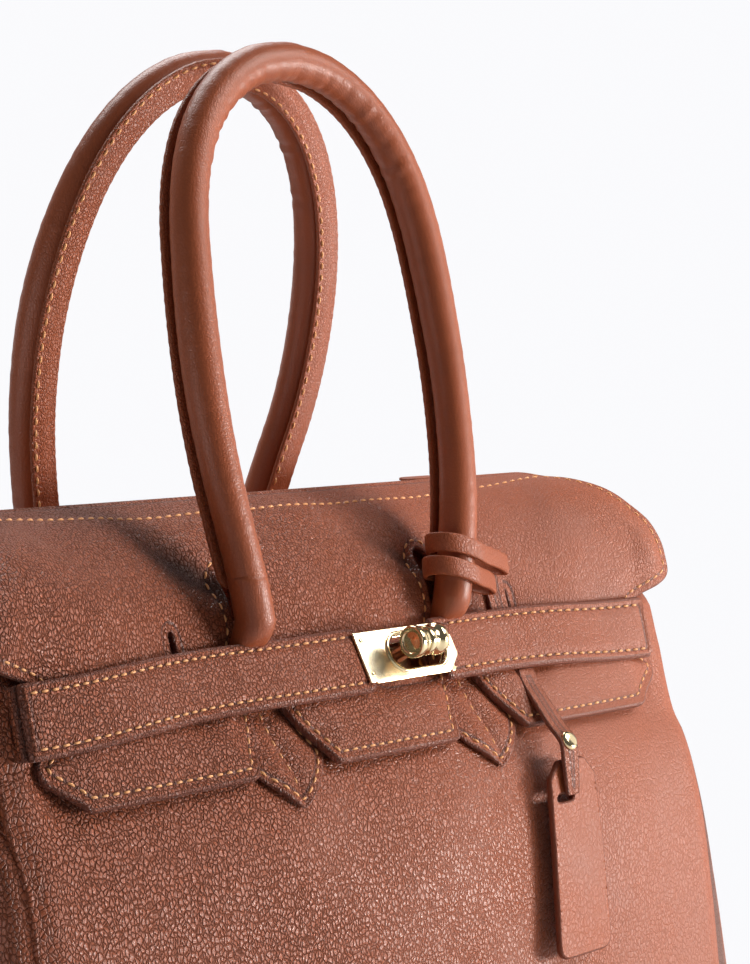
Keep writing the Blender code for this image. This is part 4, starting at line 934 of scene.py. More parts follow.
def crease(x, t):
    """Sum of valleys depth * exp(-(d / width)^2) along short lines that fade at both ends."""
    total = np.zeros_like(x)
    for x0, t0, x1, t1, depth, width in CREASES:
        run, rise = x1 - x0, (t1 - t0) * ROW_LENGTH
        size = math.hypot(run, rise)
        u = ((x - x0) * run + (t - t0) * ROW_LENGTH * rise) / size**2
        d = ((x - x0) * rise - (t - t0) * ROW_LENGTH * run) / size
        d = d + 0.002 * np.sin(3 * u + 40 * x0)
        fade = smooth((u + 0.15) / 0.15) * smooth((1 - u) / 0.8)
        total += depth * fade * np.exp(-((d / (width * (1 + 0.8 * np.clip(u, 0, 1)))) ** 2))
    return total


flap_loops = [soften(resample(o, 0.0012), 3) for o in FLAP_OUTLINES]


def flap_base(t):
    """Lift of the flap's underside: 0.3 mm at the zip and 2.3 mm from row 3 down."""
    return 0.0003 + 0.002 * np.clip(t / 3, 0, 1)


def flap_place(uv, lift):
    """Places flap points.

    The face swells between the seams (puff, less the creases) and sinks along the zip (ridge). The whole flap
    lifts round the notches (lip) and at the ends over the straps (shoulder).
    """
    x, t = uv[:, 0], row_of(uv[:, 1])
    base = flap_base(t)
    near = edge_distance(uv, flap_loops)
    calm = smooth((near - 0.001) / 0.012)
    tabs = smooth((t - 4.6) / 0.8)
    puff = calm * (0.0016 * tabs + 0.0004) + waves(x, uv[:, 1], 11, 0.06, 0.0011) * calm * (1 - tabs)
    puff = puff - crease(x, t) * smooth(near / 0.004)
    ridge = 0.0007 * np.exp(-(((t - 0.75) / 0.30) ** 2))
    sides = 0.0016 * smooth((np.abs(x) - 0.118) / 0.03) * smooth((t - 1.2) / 1.5) * calm
    away = np.hypot(np.abs(x) - NOTCH_X, ROW_LENGTH * (t - 3.6))
    lip = 0.0018 * smooth((0.017 - away) / 0.012) * smooth((4.35 - t) / 0.5)
    shoulder = 0.0030 * smooth((np.abs(x) - 0.140) / 0.014)
    shoulder = shoulder * smooth((t - 2.4) / 1.2) * smooth((4.75 - t) / 0.4)
    return wall(x, t, base + lift + lip + shoulder + np.where(lift > 0.001, puff - ridge + sides, 0))


flap, flap_rims = cut_leather("flap_skin", FLAP_OUTLINES, flap_place, PEBBLE, fill=0.0019, step=0.0011)
spots = np.array([tuple(v.co) for v in flap.data.vertices])
rows = row_at(spots[:, 0], spots[:, 2] - 0.001)
# The fold attribute paints shade into the flap's creases, darker where a crease is deeper.
point_values(flap.data, "fold", np.clip(crease(spots[:, 0], rows) / 0.0030, 0, 0.85) ** 2)
seam_along(("flap", "bag"), flap_rims[:1], flap_place, 0.0030, LEATHER - 0.0003,
           lambda uv: row_of(uv[:, 1]) > 0.5)
zip_seam = np.stack([np.linspace(-0.130, 0.130, 200), np.full(200, arc_at(0.95))], 1)
sew_flat(("flap", "bag"), zip_seam, flap_place, LEATHER)
print("flap points:", len(flap.data.vertices))

# %% [markdown]
# ## Belt straps and lock
# The straps lie along the wall at belt height, and each ends in its slit over an anchor. The right strap
# stops flush with the flap's tab, 7 mm inside the place of its hinge. The plates, their slots and the
# turning barrel stand in the lock's own frame: x along the bag, y down the wall and z outward.

# %%
LOCK_X = 0.016
BELT_HALF = 0.011
STRAP_SPANS = {"left": (-0.1500, -0.0017), "right": (0.0345, 0.1412)}
# Beyond this place the right strap runs straight on instead of following the wall.
RIGHT_STOP = 0.1400
# The straps' seams run between these places and stop where the plates begin.
SEAM_SPAN = (-0.1478, 0.1390)
PLATE_EDGE = {"left": 0.007, "right": 0.042}
PLATE_HALF = 0.00865
SLOT_HALF = 0.0058
ANCHOR_X = {-1: PIVOT_X, 1: 0.1415}


def strap_lift(x):
    """Lift of the strap's underside over the wall: more at the lock, less where the flap ends."""
    return 0.0053 + 0.0031 + (0.0018 - 0.0031) * smooth((np.abs(x) - 0.085) / 0.04)


def strap_frame(x):
    """Wall frame on the belt's middle line."""
    return wall_frame(x, row_at(x, belt_height(x)))


def strap_place(uv, lift):
    """Places strap points; past its end the face slopes down into the slit."""
    x = np.clip(uv[:, 0], -PIVOT_X, RIGHT_STOP)
    at, down, out = strap_frame(x)
    past = np.abs(uv[:, 0]) - np.abs(x)
    at = at + (uv[:, 0] - x)[:, None] * np.array([1.0, 0, 0])
    swell = 0.0005 * smooth((0.011 - np.abs(uv[:, 1])) / 0.005) * (lift > 0.0015)
    swell = swell + waves(uv[:, 0], uv[:, 1], 21, 0.07, 0.0006)
    level = strap_lift(uv[:, 0]) + lift + swell - 3.0 * past * (lift > 0.0015)
    return at + uv[:, 1][:, None] * down + level[:, None] * out


def strap_seam(plate_edge):
    """Tells which flat points of a strap are sewn: both long sides, outside the plate."""
    def keep(uv):
        sides = np.abs(uv[:, 1]) > 0.0075
        within = (uv[:, 0] > SEAM_SPAN[0]) & (uv[:, 0] < SEAM_SPAN[1])
        return sides & within & (np.abs(uv[:, 0]) > plate_edge)

    return keep


for label, (left, right) in STRAP_SPANS.items():
    outline = [(left, -BELT_HALF), (right, -BELT_HALF), (right, BELT_HALF), (left, BELT_HALF)]
    body = f"{label}_strap"
    _, rims = cut_leather(f"{label}_strap_skin", [outline], strap_place, STRAP_HIDE, body, thick=0.0034,
                          fill=0.0018, step=0.0010, radius=0.0013, seam=0.0031, dip=0.0006)
    seam_along((body, body), rims, strap_place, 0.0031, 0.0031, strap_seam(PLATE_EDGE[label]))

lock_at, lock_down, lock_out = (v.ravel() for v in strap_frame(np.array([LOCK_X])))
lock_at = np.array([0.0, lock_at[1], lock_at[2]])


def lock_place(uv, lift):
    """Places points of the lock's frame."""
    across = uv[:, :1] * np.array([1.0, 0, 0])
    return lock_at + across + uv[:, 1:2] * lock_down + np.asarray(lift)[:, None] * lock_out


def lock_spot(x, down, lift):
    return lock_place(np.array([[x, down]]), np.array([lift]))[0]


def cut_metal(name, outlines, level, thick, material, body):
    """A sheet of metal in the lock's frame, its underside at this level."""
    cut_leather(name, outlines, lambda uv, lift: lock_place(uv, lift + level), material, body, thick=thick,
                step=0.0004, fill=0.0014, corner=1, radius=0.0003, seam=0)


def plate_outline(left, right, tip, tip_half):
    """A rectangle whose right corners are cut off, down to a short edge at the tip."""
    return [(left, -PLATE_HALF), (right, -PLATE_HALF), (tip, -tip_half), (tip, tip_half), (right, PLATE_HALF),
            (left, PLATE_HALF)]


STRAP_UNDER = float(strap_lift(np.array(LOCK_X)))
PLATE_LOW = STRAP_UNDER + 0.0035 + GAP
UNDER_LOW = STRAP_UNDER + 0.0022 + GAP / 3
TOP_THICK = 0.0012
PLATE_TOP = PLATE_LOW + TOP_THICK
SLOT_LEFT, SLOT_RIGHT = 0.0082, 0.0345
RIM_OFFSET = 0.0008
cut_metal("top_plate_skin", [plate_outline(-0.0055, 0.0345, 0.0402, 0.0035),
                             obround(SLOT_LEFT, SLOT_RIGHT, SLOT_HALF, steps=24)],
          PLATE_LOW, TOP_THICK, PLATE, "left_strap")
cut_metal("under_plate_skin", [plate_outline(-0.0010, 0.0380, 0.0415, 0.0051),
                               obround(0.0045, SLOT_RIGHT, SLOT_HALF, steps=24)],
          UNDER_LOW, 0.0010, GOLD, "right_strap")
rim = obround(SLOT_LEFT - RIM_OFFSET, SLOT_RIGHT + RIM_OFFSET, SLOT_HALF + RIM_OFFSET, steps=30)
rim = resample(rim, 0.0005)
rim = lock_place(rim, np.full(len(rim), PLATE_TOP))
ringed("slot_rim_skin", tube_grid(rim, 0.00075, 12, reference=lock_out, closed=True), GOLD, "left_strap",
       closed=True)
rivet_head = [(-0.0002, 0.0009), (0.0001, 0.0009), (0.0003, 0.0006), (0.00035, 0.0001)]
for label, x, across in (("low58", -0.0030, -0.0058), ("58", -0.0030, 0.0058), ("0", 0.0368, 0.0)):
    rivet_at = lock_spot(x, across, PLATE_TOP)
    lathe(f"plate_rivet_{label}", rivet_at, lock_out, rivet_head, GOLD, "left_strap", 20)
cut_metal("post_base_skin", [obround(0.006, 0.036, 0.006, steps=20)], 0.0009, 0.0012, GOLD, "bag")
post_line = [(0.0012, 0.0024), (0.0100, 0.0024), (0.0155, 0.0022), (0.0163, 0.0027), (0.0168, 0.0026),
             (0.0169, 0.0002)]
lathe("post_skin", lock_spot(LOCK_X, 0, 0.0), lock_out, post_line, GOLD)

# The barrel as (distance from its middle, radius): a waist, a ring and a domed end with a groove.
TOGGLE_AT = lock_spot(LOCK_X, 0, 0.0222)
HALF_BARREL = [
    (0.0, 0.00435), (0.0024, 0.00435), (0.0034, 0.0045), (0.0040, 0.0051), (0.0043, 0.00525),
    (0.0060, 0.00525), (0.0064, 0.0051), (0.0065, 0.0048), (0.0065, 0.0040), (0.0063, 0.0037),
    (0.00605, 0.0036), (0.0060, 0.0033), (0.0064, 0.0023), (0.0067, 0.0012), (0.0068, 0.0001),
]
HALF_BAND = [(0.0010, 0.00485), (0.0013, 0.00465), (0.0013, 0.0040)]


def mirrored(half, middle):
    """The line's other half before it, joined at the middle points."""
    return [(-along, radius) for along, radius in half[::-1]] + middle + half


lathe("toggle_skin", TOGGLE_AT, (1, 0, 0), mirrored(HALF_BARREL[1:], HALF_BARREL[:1]), GOLD, "toggle", 56)
lathe("toggle_band_skin", TOGGLE_AT, (1, 0, 0), mirrored(HALF_BAND, []), GOLD, "toggle", 56)


def anchor_place(side):
    """The anchor's flat (along the wall, outward) domain; lift runs along X through its thickness."""
    end = ANCHOR_X[side]
    at, down, out = (v.ravel() for v in strap_frame(np.array([side * end])))

    def place(uv, lift):
        x = side * (end - 0.0017) + side * lift
        point = np.array([0, at[1], at[2]]) + x[:, None] * np.array([1.0, 0, 0])
        return point + uv[:, :1] * down + uv[:, 1:2] * out

    return place


top = float(strap_lift(np.array(PIVOT_X)))
for side, label in ((-1, "left"), (1, "right")):
    shape = [(-0.0104, -0.0020), (0.0104, -0.0020), (0.0104, top), (-0.0104, top)]
    cut_leather(f"{label}_anchor_skin", [shape], anchor_place(side), STRAP_HIDE, thick=0.0034, fill=0.002,
                step=0.001, corner=1, radius=0.0005, seam=0)
print("lock centre:", TOGGLE_AT.round(4))

# %% [markdown]
# ## Handles
# Each handle is a padded tube whose centre line runs through measured points. A strip is sewn on the side
# that faces the other handle; its edge puckers between the stitches.

# %%
FRONT_HANDLE = np.array([
    (0.0, 0.0185, 0.3900), (0.0161, 0.0190, 0.3874), (0.0305, 0.0205, 0.3800), (0.0419, 0.0227, 0.3686),
    (0.0496, 0.0255, 0.3544), (0.0539, 0.0285, 0.3390), (0.0560, 0.0317, 0.3230), (0.0572, 0.0348, 0.3070),
    (0.0577, 0.0380, 0.2910), (0.0572, 0.0411, 0.2749), (0.0557, 0.0442, 0.2589), (0.0531, 0.0470, 0.2431),
    (0.0498, 0.0490, 0.2274), (0.0470, 0.0496, 0.2147),
])
REAR_HANDLE = np.array([
    (0.0, 0.0128, 0.3895), (0.0166, 0.0135, 0.3868), (0.0314, 0.0153, 0.3792), (0.0433, 0.0180, 0.3677),
    (0.0520, 0.0213, 0.3537), (0.0579, 0.0249, 0.3383), (0.0615, 0.0287, 0.3223), (0.0631, 0.0326, 0.3060),
    (0.0628, 0.0364, 0.2896), (0.0608, 0.0403, 0.2733), (0.0571, 0.0441, 0.2573), (0.0530, 0.0470, 0.2417),
    (0.0490, 0.0490, 0.2274), (0.0470, 0.0496, 0.2147),
])
TUBE = 0.00635
TILT = math.radians(11)
SEAM_SIDE = 0.0036
HANDLE_X = 0.0475
HANDLE_STEP = 0.0016


def handle_line(points, front, rows=150, last=13.0):
    """Centre line from the left end over the top to the right end."""
    right = through(points, np.linspace(0, last, rows))
    right[:, 1] *= -1 if front else 1
    left = right[1:] * (-1, 1, 1)
    return resample(np.concatenate([left[::-1], right]), HANDLE_STEP, closed=False)


def handle_axes(line, front):
    """Direction towards the other handle, and the one across it, at each point of the line."""
    sign = 1 if front else -1
    along = unit(np.gradient(line, axis=0))
    face = np.array([0, sign * math.cos(TILT), -math.sin(TILT)])
    face = unit(face - along * (along @ face)[:, None])
    return face, np.cross(along, face)


def rounded_ends(count, length, share, least):
    """Factor sqrt(1 - share (1 - d / length)^2) near a line's ends, d the way from the nearer end.

    The number under the root isn't let under least.
    """
    number = np.arange(count)
    way = np.minimum(number, number[::-1]) * HANDLE_STEP
    return np.sqrt(np.clip(1 - np.clip(1 - way / length, 0, 1) ** 2 * share, least, 1))


def build_tube(label, points, front, seed):
    """Tube radius r(s, a) = R + small waves, with fine wrinkles on the inner side of the bend."""
    line = handle_line(points, front)
    walk = np.arange(len(line)) * HANDLE_STEP
    angle = circle(40)
    face, across = handle_axes(line, front)
    bend = smooth((line[:, 2] - 0.335) / 0.03)
    inner = np.clip(-np.sin(angle), 0, 1) if front else np.clip(np.sin(angle), 0, 1)
    rng = np.random.default_rng(seed)
    ripple = sum(np.sin(2 * np.pi * walk[:, None] / size + 1.5 * np.sin(angle) + rng.uniform(0, 6))
                 for size in (0.0048, 0.0061, 0.0083))
    radius = TUBE * np.ones((len(line), len(angle)))
    radius += 0.00009 * ripple * (0.35 + 1.3 * bend[:, None] * inner[None, :])
    radius += 0.00022 * np.sin(walk / 0.017 + seed)[:, None] - 0.0001
    radius *= rounded_ends(len(line), 0.005, 0.92, 0.02)[:, None]
    rings = line[:, None] + radius[..., None] * spokes(angle, face, across)
    flow = np.zeros(rings.shape)
    flow[..., 0] = walk[:, None]
    flow[..., 1] = TUBE * np.cos(angle)
    flow[..., 2] = TUBE * np.sin(angle)
    ringed(f"{label}_skin", rings, TUBE_HIDE, label, path=flow)


def build_strip(label, points, front):
    """The sewn strip, 10 x 2.3 mm, pinched at its two seams and waved by the thread."""
    line = handle_line(points, front, last=12.2)
    face, across = handle_axes(line, front)
    pucker = np.sin(2 * np.pi * np.arange(len(line)) * HANDLE_STEP / PITCH)
    wide = (0.0050 + 0.00008 * pucker) * rounded_ends(len(line), 0.006, 1.0, 0.05)
    u, v = squared(circle(22), 0.55)
    pinch = 0.0004 * np.exp(-(((np.abs(u) - 0.64) / 0.14) ** 2)) * (v > 0)
    height = 0.00115 * v - pinch + 0.00004 * pucker[:, None] * (np.abs(u) > 0.5) * (v > 0)
    mid = line + (TUBE + 0.0013) * face
    sideways = (wide[:, None] * u)[..., None] * across[:, None]
    rings = mid[:, None] + sideways + height[..., None] * face[:, None]
    ringed(f"{label}_seam_skin", rings, SMOOTH_HIDE, label)
    middle = len(line) // 2
    for side, run in ((-1, slice(4, middle)), (1, slice(middle, len(line) - 4))):
        path = mid + 0.00098 * face + side * SEAM_SIDE * across * (-1 if front else 1)
        sew((label, label), path[run], face[run])


for label, points, seed in (("front_handle", FRONT_HANDLE, 3), ("rear_handle", REAR_HANDLE, 8)):
    front = label == "front_handle"
    build_tube(label, points, front, seed)
    build_strip(label, points, front)

# The handle's flat end below the tube, as (height, half width).
TAB = np.array([(0.1585, 0.0008), (0.1625, 0.0065), (0.1670, 0.0128), (0.1712, 0.0168), (0.1732, 0.0172),
                (0.1760, 0.0158), (0.1790, 0.0142), (0.1850, 0.0118), (0.1950, 0.0103), (0.2045, 0.0098),
                (0.2090, 0.0090), (0.2130, 0.0080)])


def tab_place(front):
    """Places the flat end's points: a groove along its middle seam, a swell on both sides of it."""
    def place(uv, lift):
        x, t = uv[:, 0], row_of(uv[:, 1])
        centre = np.sign(x) * HANDLE_X
        low = smooth((t - 5.2) / 0.8)
        ridge = 0.0007 * np.exp(-(((x - centre) / 0.0013) ** 2)) * low
        swell = 0.0007 * low * np.exp(-(((np.abs(x - centre) - 0.0065) / 0.004) ** 2))
        return wall(x, t, 0.0005 + lift + np.where(lift > 0.0008, swell - ridge, 0), front)

    return place


def mirror_outline(centre, halves, heights):
    """An outline with these half widths on both sides of its centre."""
    right = np.stack([centre + halves, heights], 1)
    left = np.stack([centre - halves, heights], 1)
    return np.concatenate([right, left[::-1]])


def build_flat_end(label, side, front):
    """The flat pointed end, sewn round its edge and down its middle."""
    heights = np.linspace(TAB[0, 0], TAB[-1, 0], 60)
    halves = np.interp(heights, TAB[:, 0], TAB[:, 1])
    shape = mirror_outline(side * HANDLE_X, halves, heights)
    place = tab_place(front)
    _, rims = cut_leather(f"{label}_tab_skin", [flat(shape)], place, STRAP_HIDE, thick=0.0016, fill=0.0015,
                          step=0.0009, radius=0.0006, seam=0.0022, dip=0.0003, corner=2)
    seam_along(("tab", "bag"), rims, place, 0.0022, 0.0014, lambda uv: row_of(uv[:, 1]) > 4.0)
    centre = np.stack([np.full(30, side * HANDLE_X), np.linspace(arc_at(5.4), arc_at(7.35), 30)], 1)
    sew_flat(("tab", "bag"), centre, place, 0.0014)


def build_sleeve(label, side, front):
    """The sleeve round the tube's end: it follows the tube for its first part, then flattens onto the wall."""
    points = FRONT_HANDLE if front else REAR_HANDLE
    sign = -1 if front else 1
    line = through(points, np.linspace(11.9, 13, 10)) * (side, sign, 1)
    round_share = 0.35
    rings = []
    foot_row = row_at(HANDLE_X, 0.1965)
    foot, _, out = (v.ravel() for v in wall_frame(np.array([side * HANDLE_X]), np.array([foot_row]), front))
    foot = foot + 0.0014 * out
    outward = np.array([0.0, sign, 0.0])
    across = np.array([side, 0.0, 0.0])
    for s in np.linspace(0, 1, 26):
        share = max(s - round_share, 0) / (1 - round_share)
        if share == 0:
            spot = through(line, np.array([s / round_share * 9]))[0]
        else:
            spot = line[-1] * (1 - share) + foot * share
            back = smooth(1.25 * share)
            spot[1] = line[-1][1] * (1 - back) + foot[1] * back
        flatness = smooth((share - 0.30) / 0.65)
        tube = TUBE + 0.00003 - (0.0003 if s == 0 else 0)
        wide = tube * (1 - flatness) + 0.0090 * flatness
        deep = tube * (1 - flatness) + 0.0010 * flatness
        u, v = squared(circle(36), 1 - 0.30 * flatness)
        normal = unit(outward * (1 - flatness) + out * flatness)
        fold = 0.0012 * flatness * (1 - flatness) * 4 * np.exp(-((u / 0.25) ** 2)) * (v > 0)
        rings.append(spot + wide * u[:, None] * across + (deep * v - fold)[:, None] * normal)
    rings = np.array(rings)
    sleeve = ringed(f"{label}_sleeve_skin", rings, TUBE_HIDE, None, path=rings)
    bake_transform(sleeve)


for side, end in ((-1, "left"), (1, "right")):
    for label, front in (("front", True), ("rear", False)):
        build_flat_end(f"{label}_{end}", side, front)
        build_sleeve(f"{label}_{end}", side, front)
print("handle line points:", len(handle_line(FRONT_HANDLE, True)), len(handle_line(REAR_HANDLE, False)))

# %% [markdown]
# ## Zip
# Two woven tapes and two rows of metal teeth half a pitch apart, with a slider and its pull.

# %%
ZIP_LOW = 0.2449
ZIP_END = 0.130
TAPE_THICK = 0.0008
TEETH = 64
TOOTH_PITCH = 0.004
FIRST_TOOTH = -0.128
for side, label in ((-1, "front"), (1, "back")):
    x = np.linspace(-ZIP_END, ZIP_END, 160)[:, None]
    y = side * np.array([0.0023, 0.0045, 0.0070, 0.0092])[None, :]
    z = ZIP_LOW + TAPE_THICK + 0.0001 * np.sin(x * 210)
    grid = np.stack(np.broadcast_arrays(x, y, z), -1)
    loft(f"zip_tape_{label}_skin", grid, grid - (0, 0, TAPE_THICK), TAPE)


def tooth(x, side):
    """One tooth: a rounded bar with a narrower nose, closed by rings along its length."""
    reach = np.array([0.0026, 0.0025, 0.0014, 0.0004, -0.0004, -0.0009, -0.0010])
    wide = np.array([0.0004, 0.00085, 0.00085, 0.00062, 0.0008, 0.0006, 0.0002])
    tall = np.array([0.0004, 0.0010, 0.0010, 0.0008, 0.0009, 0.0007, 0.0002])
    u, v = squared(circle(12), 0.6)
    px = x + wide[:, None] * u
    py = side * reach[:, None] + 0 * u
    pz = ZIP_LOW + 0.0010 + tall[:, None] * v
    return np.stack([px, py, pz], -1)


for side, label in ((-1, "front"), (1, "back")):
    start = FIRST_TOOTH + (TOOTH_PITCH / 2 if side > 0 else 0)
    rings = [tooth(start + TOOTH_PITCH * i, side) for i in range(TEETH)]
    rows, sides = rings[0].shape[:2]
    verts = np.concatenate([ring.reshape(-1, 3) for ring in rings])
    faces = np.concatenate([grid_faces(rows, sides, wrap=True, start=rows * sides * i) for i in range(TEETH)])
    new_object(f"zip_teeth_{label}_skin", verts, [faces], GOLD)


def rounded_bar(name, centre, half, material, body, taper=(1.0, 1.0)):
    """A bar along x with rounded edges: squared rings that close at both ends; taper gives the end widths."""
    s = np.linspace(-1, 1, 25)
    ends = np.clip((1 - np.abs(s) ** 10) ** 0.5, 0.05, 1)
    u, v = squared(circle(32), 0.35)
    wide = ends * half[1] * np.interp(s, [-1, 1], taper)
    x = centre[0] + (s * half[0])[:, None] + 0 * u
    y = centre[1] + wide[:, None] * u
    z = centre[2] + (ends * half[2])[:, None] * v
    ringed(name, np.stack([x, y, z], -1), material, body)


SLIDER_X, PIN_Z = 0.108, 0.2494
EYE_RADIUS = 0.00155
rounded_bar("slider_plate_skin", (SLIDER_X, 0, 0.2478), (0.006, 0.004, 0.0006), GOLD, "zip_slider")
for side, label in ((-1, "front"), (1, "back")):
    rounded_bar(f"slider_ear_{label}", (SLIDER_X, side * 0.0022, 0.2503), (0.0022, 0.0006, 0.0021), GOLD,
                "zip_slider")
    rounded_bar(f"slider_lip_{label}", (SLIDER_X, side * 0.0036, 0.2474), (0.0056, 0.0004, 0.0009), GOLD,
                "zip_slider")
lathe("slider_pin_skin", (SLIDER_X, 0, PIN_Z), (0, 1, 0),
      [(-0.0028, 0.0002), (-0.0027, 0.0007), (0.0027, 0.0007), (0.0028, 0.0002)], GOLD, "zip_slider", 20)
rounded_bar("pull_grip_skin", (SLIDER_X - 0.0188, 0, PIN_Z), (0.0095, 0.0044, 0.0007), SMOOTH_HIDE,
            "zip_pull", (1.0, 0.8))
rounded_bar("pull_stem_skin", (SLIDER_X - 0.0072, 0, PIN_Z), (0.0052, 0.0013, 0.0007), GOLD, "zip_pull")
turn = circle(32)
eye = np.stack([SLIDER_X + EYE_RADIUS * np.cos(turn), 0 * turn, PIN_Z + EYE_RADIUS * np.sin(turn)], 1)
ringed("pull_eye_skin", tube_grid(eye, 0.0005, 12, closed=True), GOLD, "zip_pull", closed=True)
print("zip teeth:", 2 * TEETH)

# %% [markdown]
# ## Tag
# A thong goes twice round the front handle's right leg and down behind the belt. It comes out below as a
# narrow strap that passes through the tag's slot and is closed by a rivet.

# %%
TAG_X = 0.0755
TAIL_LOW, TAIL_HIGH = 0.1790, 0.2235
# The loop seen from above: round the leg at the origin, and out to the right where its two strands meet.
LOOP = np.array([
    (-0.0102, 0.0000), (-0.0092, -0.0032), (-0.0064, -0.0056), (-0.0030, -0.0067), (0.0000, -0.0070),
    (0.0030, -0.0068), (0.0262, 0.0010), (0.0268, 0.0020), (0.0262, 0.0030), (0.0040, 0.0062),
    (0.0000, 0.0070), (-0.0030, 0.0066), (-0.0064, 0.0055), (-0.0092, 0.0030),
])


def thong_loop(name, x, height, reach):
    """A flat strip bent round the leg at this height: rounded-rectangle sections along a closed line.

    Its far points are drawn in by reach, and it falls by 0.28 of the way to the right.
    """
    order = np.argsort(FRONT_HANDLE[:, 2])
    depth = np.interp(height, FRONT_HANDLE[order, 2], FRONT_HANDLE[order, 1])
    path = soften(resample(LOOP * np.where(LOOP > 0.01, reach, 1.0), 0.0008), 4)
    normal = -inward(path)
    u, v = squared(circle(20), 0.5)
    if signed_area(path) < 0:
        normal = -normal
    middle = path + 0.0010 * normal
    flat_ring = middle[:, None] + (0.0009 * u)[None, :, None] * normal[:, None]
    lean = math.radians(-5.5)
    a, b = flat_ring[..., 0], flat_ring[..., 1]
    ripple = 0.0004 * np.sin(3 * np.arange(len(path)) / len(path) * 2 * np.pi)[:, None]
    c = 0.0032 * v[None, :] - 0.28 * a + ripple
    rings = np.stack([x + a, -depth + b * math.cos(lean) - c * math.sin(lean),
                      height + b * math.sin(lean) + c * math.cos(lean)], -1)
    ringed(name, rings, SMOOTH_HIDE, "front_handle", closed=True)


thong_loop("tag_loop_low_skin", 0.0478, 0.2220, 0.80)
thong_loop("tag_loop_high_skin", 0.0498, 0.2296, 1.0)


def tail_place(uv, lift):
    """Places the thong's tail on the flap's face."""
    t = row_of(uv[:, 1])
    return wall(uv[:, 0], t, flap_base(t) + LEATHER + 0.0006 + lift)


left, right = TAG_X - 0.0042, TAG_X + 0.0042
shape = flat([(left, TAIL_HIGH), (left, TAIL_LOW), (right, TAIL_LOW), (right, TAIL_HIGH)])
cut_leather("tag_tail_skin", [shape], tail_place, STRAP_HIDE, thick=0.0016, fill=0.0015, step=0.0009,
            radius=0.0005, seam=0)

# The strap below the belt, from its top down, as (half width, middle x, depth, height).
TAG_STRAP = np.array([
    (0.0042, 0.0760, 0.0566, 0.1868),
    (0.0042, 0.0752, 0.0599, 0.1818), (0.0042, 0.0742, 0.0655, 0.1765), (0.0042, 0.0730, 0.0728, 0.1695),
    (0.0042, 0.0720, 0.0783, 0.1650), (0.0040, 0.0715, 0.0798, 0.1590), (0.0036, 0.0712, 0.0808, 0.1515),
    (0.0030, 0.0710, 0.0813, 0.1475),
])


# Flat length that stands for one row of the table.
STRAP_ROW = 0.005
TAG_STRAP_THICK = 0.0018


def tag_strap_place(uv, lift):
    """Places (across, way down) points along the table's rows."""
    v = uv[:, 1] / STRAP_ROW
    row = through(TAG_STRAP, v)
    run = through(TAG_STRAP, v + 0.02) - through(TAG_STRAP, v - 0.02)
    run = unit(np.stack([0 * v, -run[:, 2], run[:, 3]], 1))
    out = np.stack([0 * v, run[:, 2], -run[:, 1]], 1)
    at = np.stack([row[:, 1] + uv[:, 0], -row[:, 2], row[:, 3]], 1)
    return at + lift[:, None] * out


rows = np.linspace(0, len(TAG_STRAP) - 1, 35)
shape = mirror_outline(0.0, through(TAG_STRAP, rows)[:, 0], rows * STRAP_ROW)
cut_leather("tag_strap_skin", [shape], tag_strap_place, STRAP_HIDE, "tag", thick=TAG_STRAP_THICK, fill=0.0011,
            step=0.0006, radius=0.0006, seam=0.0012, dip=0.0001)
rivet_spot = np.array([[0.0, 0.0203]])
rivet_at = tag_strap_place(rivet_spot, np.array([TAG_STRAP_THICK]))[0]
rivet_out = tag_strap_place(rivet_spot, np.array([TAG_STRAP_THICK + 0.001]))[0] - rivet_at
rivet_line = [(-0.0004, 0.0034), (0.0003, 0.0034), (0.0007, 0.0031), (0.0011, 0.0022), (0.0012, 0.0012),
              (0.00122, 0.0002)]
lathe("tag_rivet_skin", rivet_at, rivet_out, rivet_line, GOLD, "tag", 40)
TAG_TOP, TAG_FOOT = np.array([0.0748, -0.0762, 0.1590]), np.array([0.0700, -0.0872, 0.0945])
TAG_LENGTH = float(np.linalg.norm(TAG_FOOT - TAG_TOP))
TAG_DOWN = (TAG_FOOT - TAG_TOP) / TAG_LENGTH
TAG_OUT = np.array([0.0, TAG_DOWN[2], -TAG_DOWN[1]])
# Right half of the tag's outline from its top, as (x, way down).
TAG_SIDE = [(0.0068, 0.0003), (0.0124, 0.0062), (0.0134, 0.0300), (0.0142, TAG_LENGTH - 0.0035),
            (0.0130, TAG_LENGTH - 0.0012), (0.0105, TAG_LENGTH)]


def tag_place(uv, lift):
    """Places tag points on a plane that bows a little."""
    bow = 0.0006 * np.sin(uv[:, 1] / 0.065 * np.pi) + waves(uv[:, 0], uv[:, 1], 31, 0.03, 0.0002)
    across = uv[:, :1] * np.array([1.0, 0, 0])
    return TAG_TOP + across + uv[:, 1:] * TAG_DOWN + (lift + bow)[:, None] * TAG_OUT


mirror_side = [(-x, down) for x, down in TAG_SIDE[::-1]]
shape = mirror_side[-1:] + TAG_SIDE + mirror_side[:-1]
hole = obround(-0.0050 - 0.0046, -0.0050 + 0.0046, 0.0012, 0.0128, 8)
cut_leather("tag_body_skin", [shape, hole], tag_place, TAG_HIDE, "tag", thick=0.0026, fill=0.0014,
            step=0.0006, radius=0.0008, seam=0)
print("tag length:", round(TAG_LENGTH, 4))

# %% [markdown]
# ## Feet and lining
# Neither shows in the photograph: four plain metal feet, and an open fabric bag inside. The lining has an
# outer and an inner skin, the inner one 1.2 mm further in and starting at the lining's floor.

# %%
FOOT_X, FOOT_Y = 0.125, 0.065
FOOT_LINE = [(0.0, 0.0001), (0.0, 0.0040), (0.0006, 0.0052), (0.0018, 0.0061), (0.0030, 0.0064),
             (0.0037, 0.0064), (0.0037, 0.0001)]
for x, end in ((-FOOT_X, "left"), (FOOT_X, "right")):
    for y, label in ((-FOOT_Y, "front"), (FOOT_Y, "back")):
        lathe(f"foot_{label}_{end}_skin", (x, y, 0), (0, 0, 1), FOOT_LINE, GOLD)

